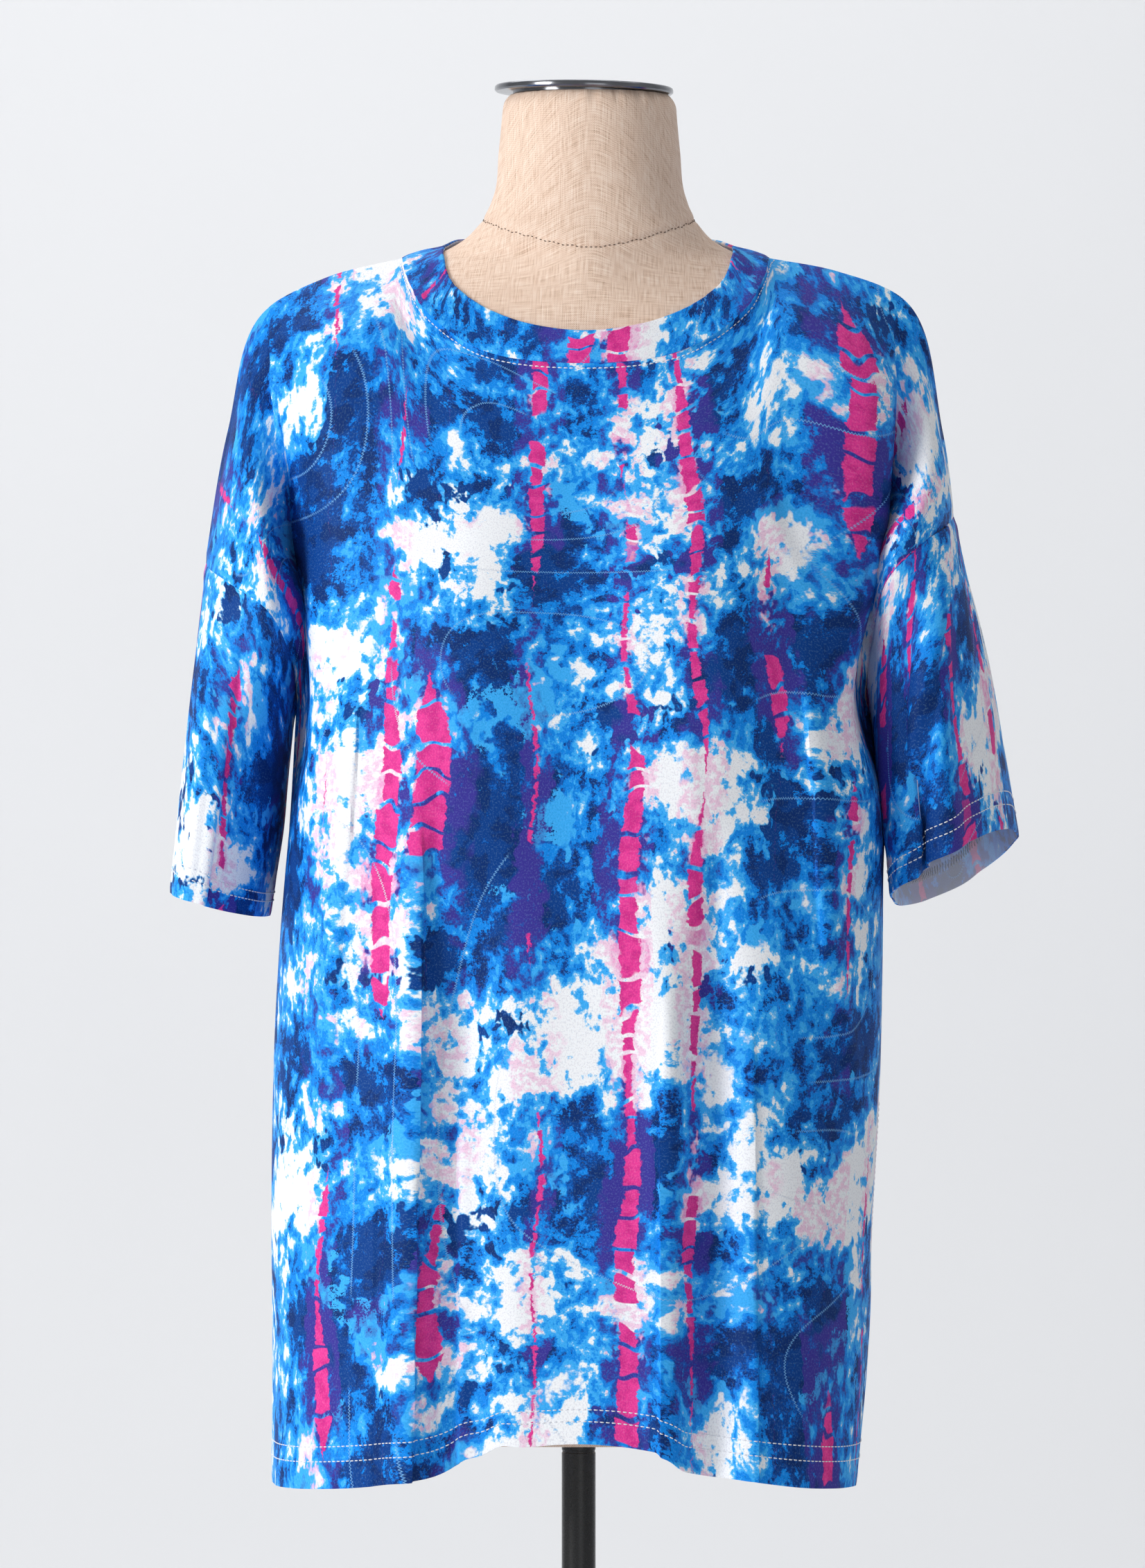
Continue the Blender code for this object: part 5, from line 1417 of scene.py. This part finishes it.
def studio_paint():
    """Matt paint that shows on a backdrop's front only, so that the object can be seen from behind it."""
    w = Wiring("studio_white")
    tone = w.mix(w.noise(w.node("TexCoord", output="Object"), 3.0), "#EEEFF1", "#F1F2F4")
    behind = w.node("NewGeometry", output="Backfacing")
    return w.set(Base_Color=tone, Roughness=0.9, Specular_IOR_Level=0.1, Alpha=behind * -1.0 + 1.0)


# ---- studio ---------------------------------------------------------------------------------------------

CAMERA_PLACE = (-0.004, -5.5, 1.094)
CAMERA_LENS = 194.5
SENSOR_HEIGHT = 36.0
SWEEP_FRONT, SWEEP_BEND, SWEEP_RADIUS, SWEEP_TOP, SWEEP_SIDE = -6.5, 1.6, 0.9, 4.2, 6.0
LIGHTS = table(
    "name place target size power shade",
    ("key_left", (-2.9, -2.1, 2.0), (0, 0, 1.15), (1.2, 1.9), 101, (1.0, 0.99, 0.975)),
    ("fill_right", (1.2, -4.4, 1.4), (0, 0, 1.1), (2.0, 2.0), 15, (0.98, 0.99, 1.0)),
    ("top_back", (-0.6, 1.3, 3.2), (0, 0.1, 1.3), (1.8, 1.0), 14, (1, 1, 1)),
    ("sweep_light", (0.0, 0.2, 3.6), (0.0, 2.6, 1.2), (4.0, 0.8), 22, (1, 1, 1)),
)


def make_studio():
    bend = [(SWEEP_BEND + SWEEP_RADIUS * math.sin(a), SWEEP_RADIUS * (1 - math.cos(a)))
            for a in np.linspace(0.08, math.pi / 2, 14)]
    rows = [(SWEEP_FRONT, 0.0), (SWEEP_BEND, 0.0), *bend, (SWEEP_BEND + SWEEP_RADIUS, SWEEP_TOP)]
    points = [(x, y, z) for y, z in rows for x in (-SWEEP_SIDE, SWEEP_SIDE)]
    faces = [(2 * i, 2 * i + 1, 2 * i + 3, 2 * i + 2) for i in range(len(rows) - 1)]
    mesh = bpy.data.meshes.new("studio_sweep")
    mesh.from_pydata(points, [], faces)
    mesh.shade_smooth()
    floor = linked("studio_sweep", mesh)
    floor.location.z = -0.0005
    floor.data.materials.append(studio_paint())

    world = bpy.data.worlds.new("studio_light")
    bpy.context.scene.world = world
    world.use_nodes = True
    background = world.node_tree.nodes["Background"]
    background.inputs["Color"].default_value = (0.95, 0.96, 0.98, 1.0)
    background.inputs["Strength"].default_value = 0.36

    for lamp in LIGHTS:
        light = bpy.data.lights.new(lamp.name, "AREA")
        light.shape = "RECTANGLE"
        light.size, light.size_y = lamp.size
        light.energy = lamp.power
        light.color = lamp.shade
        obj = linked(lamp.name, light)
        obj.location = lamp.place
        obj.rotation_euler = (Vector(lamp.target) - Vector(lamp.place)).to_track_quat("-Z", "Y").to_euler()

    camera = bpy.data.cameras.new("camera")
    camera.sensor_fit = "VERTICAL"
    camera.sensor_height = SENSOR_HEIGHT
    camera.lens = CAMERA_LENS
    camera.clip_end = 60.0
    view = linked("camera", camera)
    view.location = CAMERA_PLACE
    view.rotation_euler = (math.pi / 2, 0.0, 0.0)
    bpy.context.scene.camera = view
    bpy.context.scene.view_settings.view_transform = "Standard"


# ---- all together ---------------------------------------------------------------------------------------


def main():
    make_studio()
    cover, seam, form_tree = make_form()
    cover.data.materials.append(linen())
    seam.data.materials.append(thread_material("seam_thread", "#6E5644", "#3E3026"))
    cap, pole, base = make_stand()
    cap.data.materials.append(polished_metal())
    pole.data.materials.append(black_paint("pole_paint", 0.22, 0.34, 900.0))
    base.data.materials.append(black_paint("base_paint", 0.42, 0.60, 1400.0))
    pieces, both = make_shirt(form_tree, printed_jersey("jersey", 0.0), printed_jersey("jersey_band", 4.3),
                              thread_material("white_thread", "#F4F5F8", "#D5DAE4"))
    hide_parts("front_panel")
    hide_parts("back_panel")
    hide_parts("sleeve_right")
    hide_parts("sleeve_left")


main()
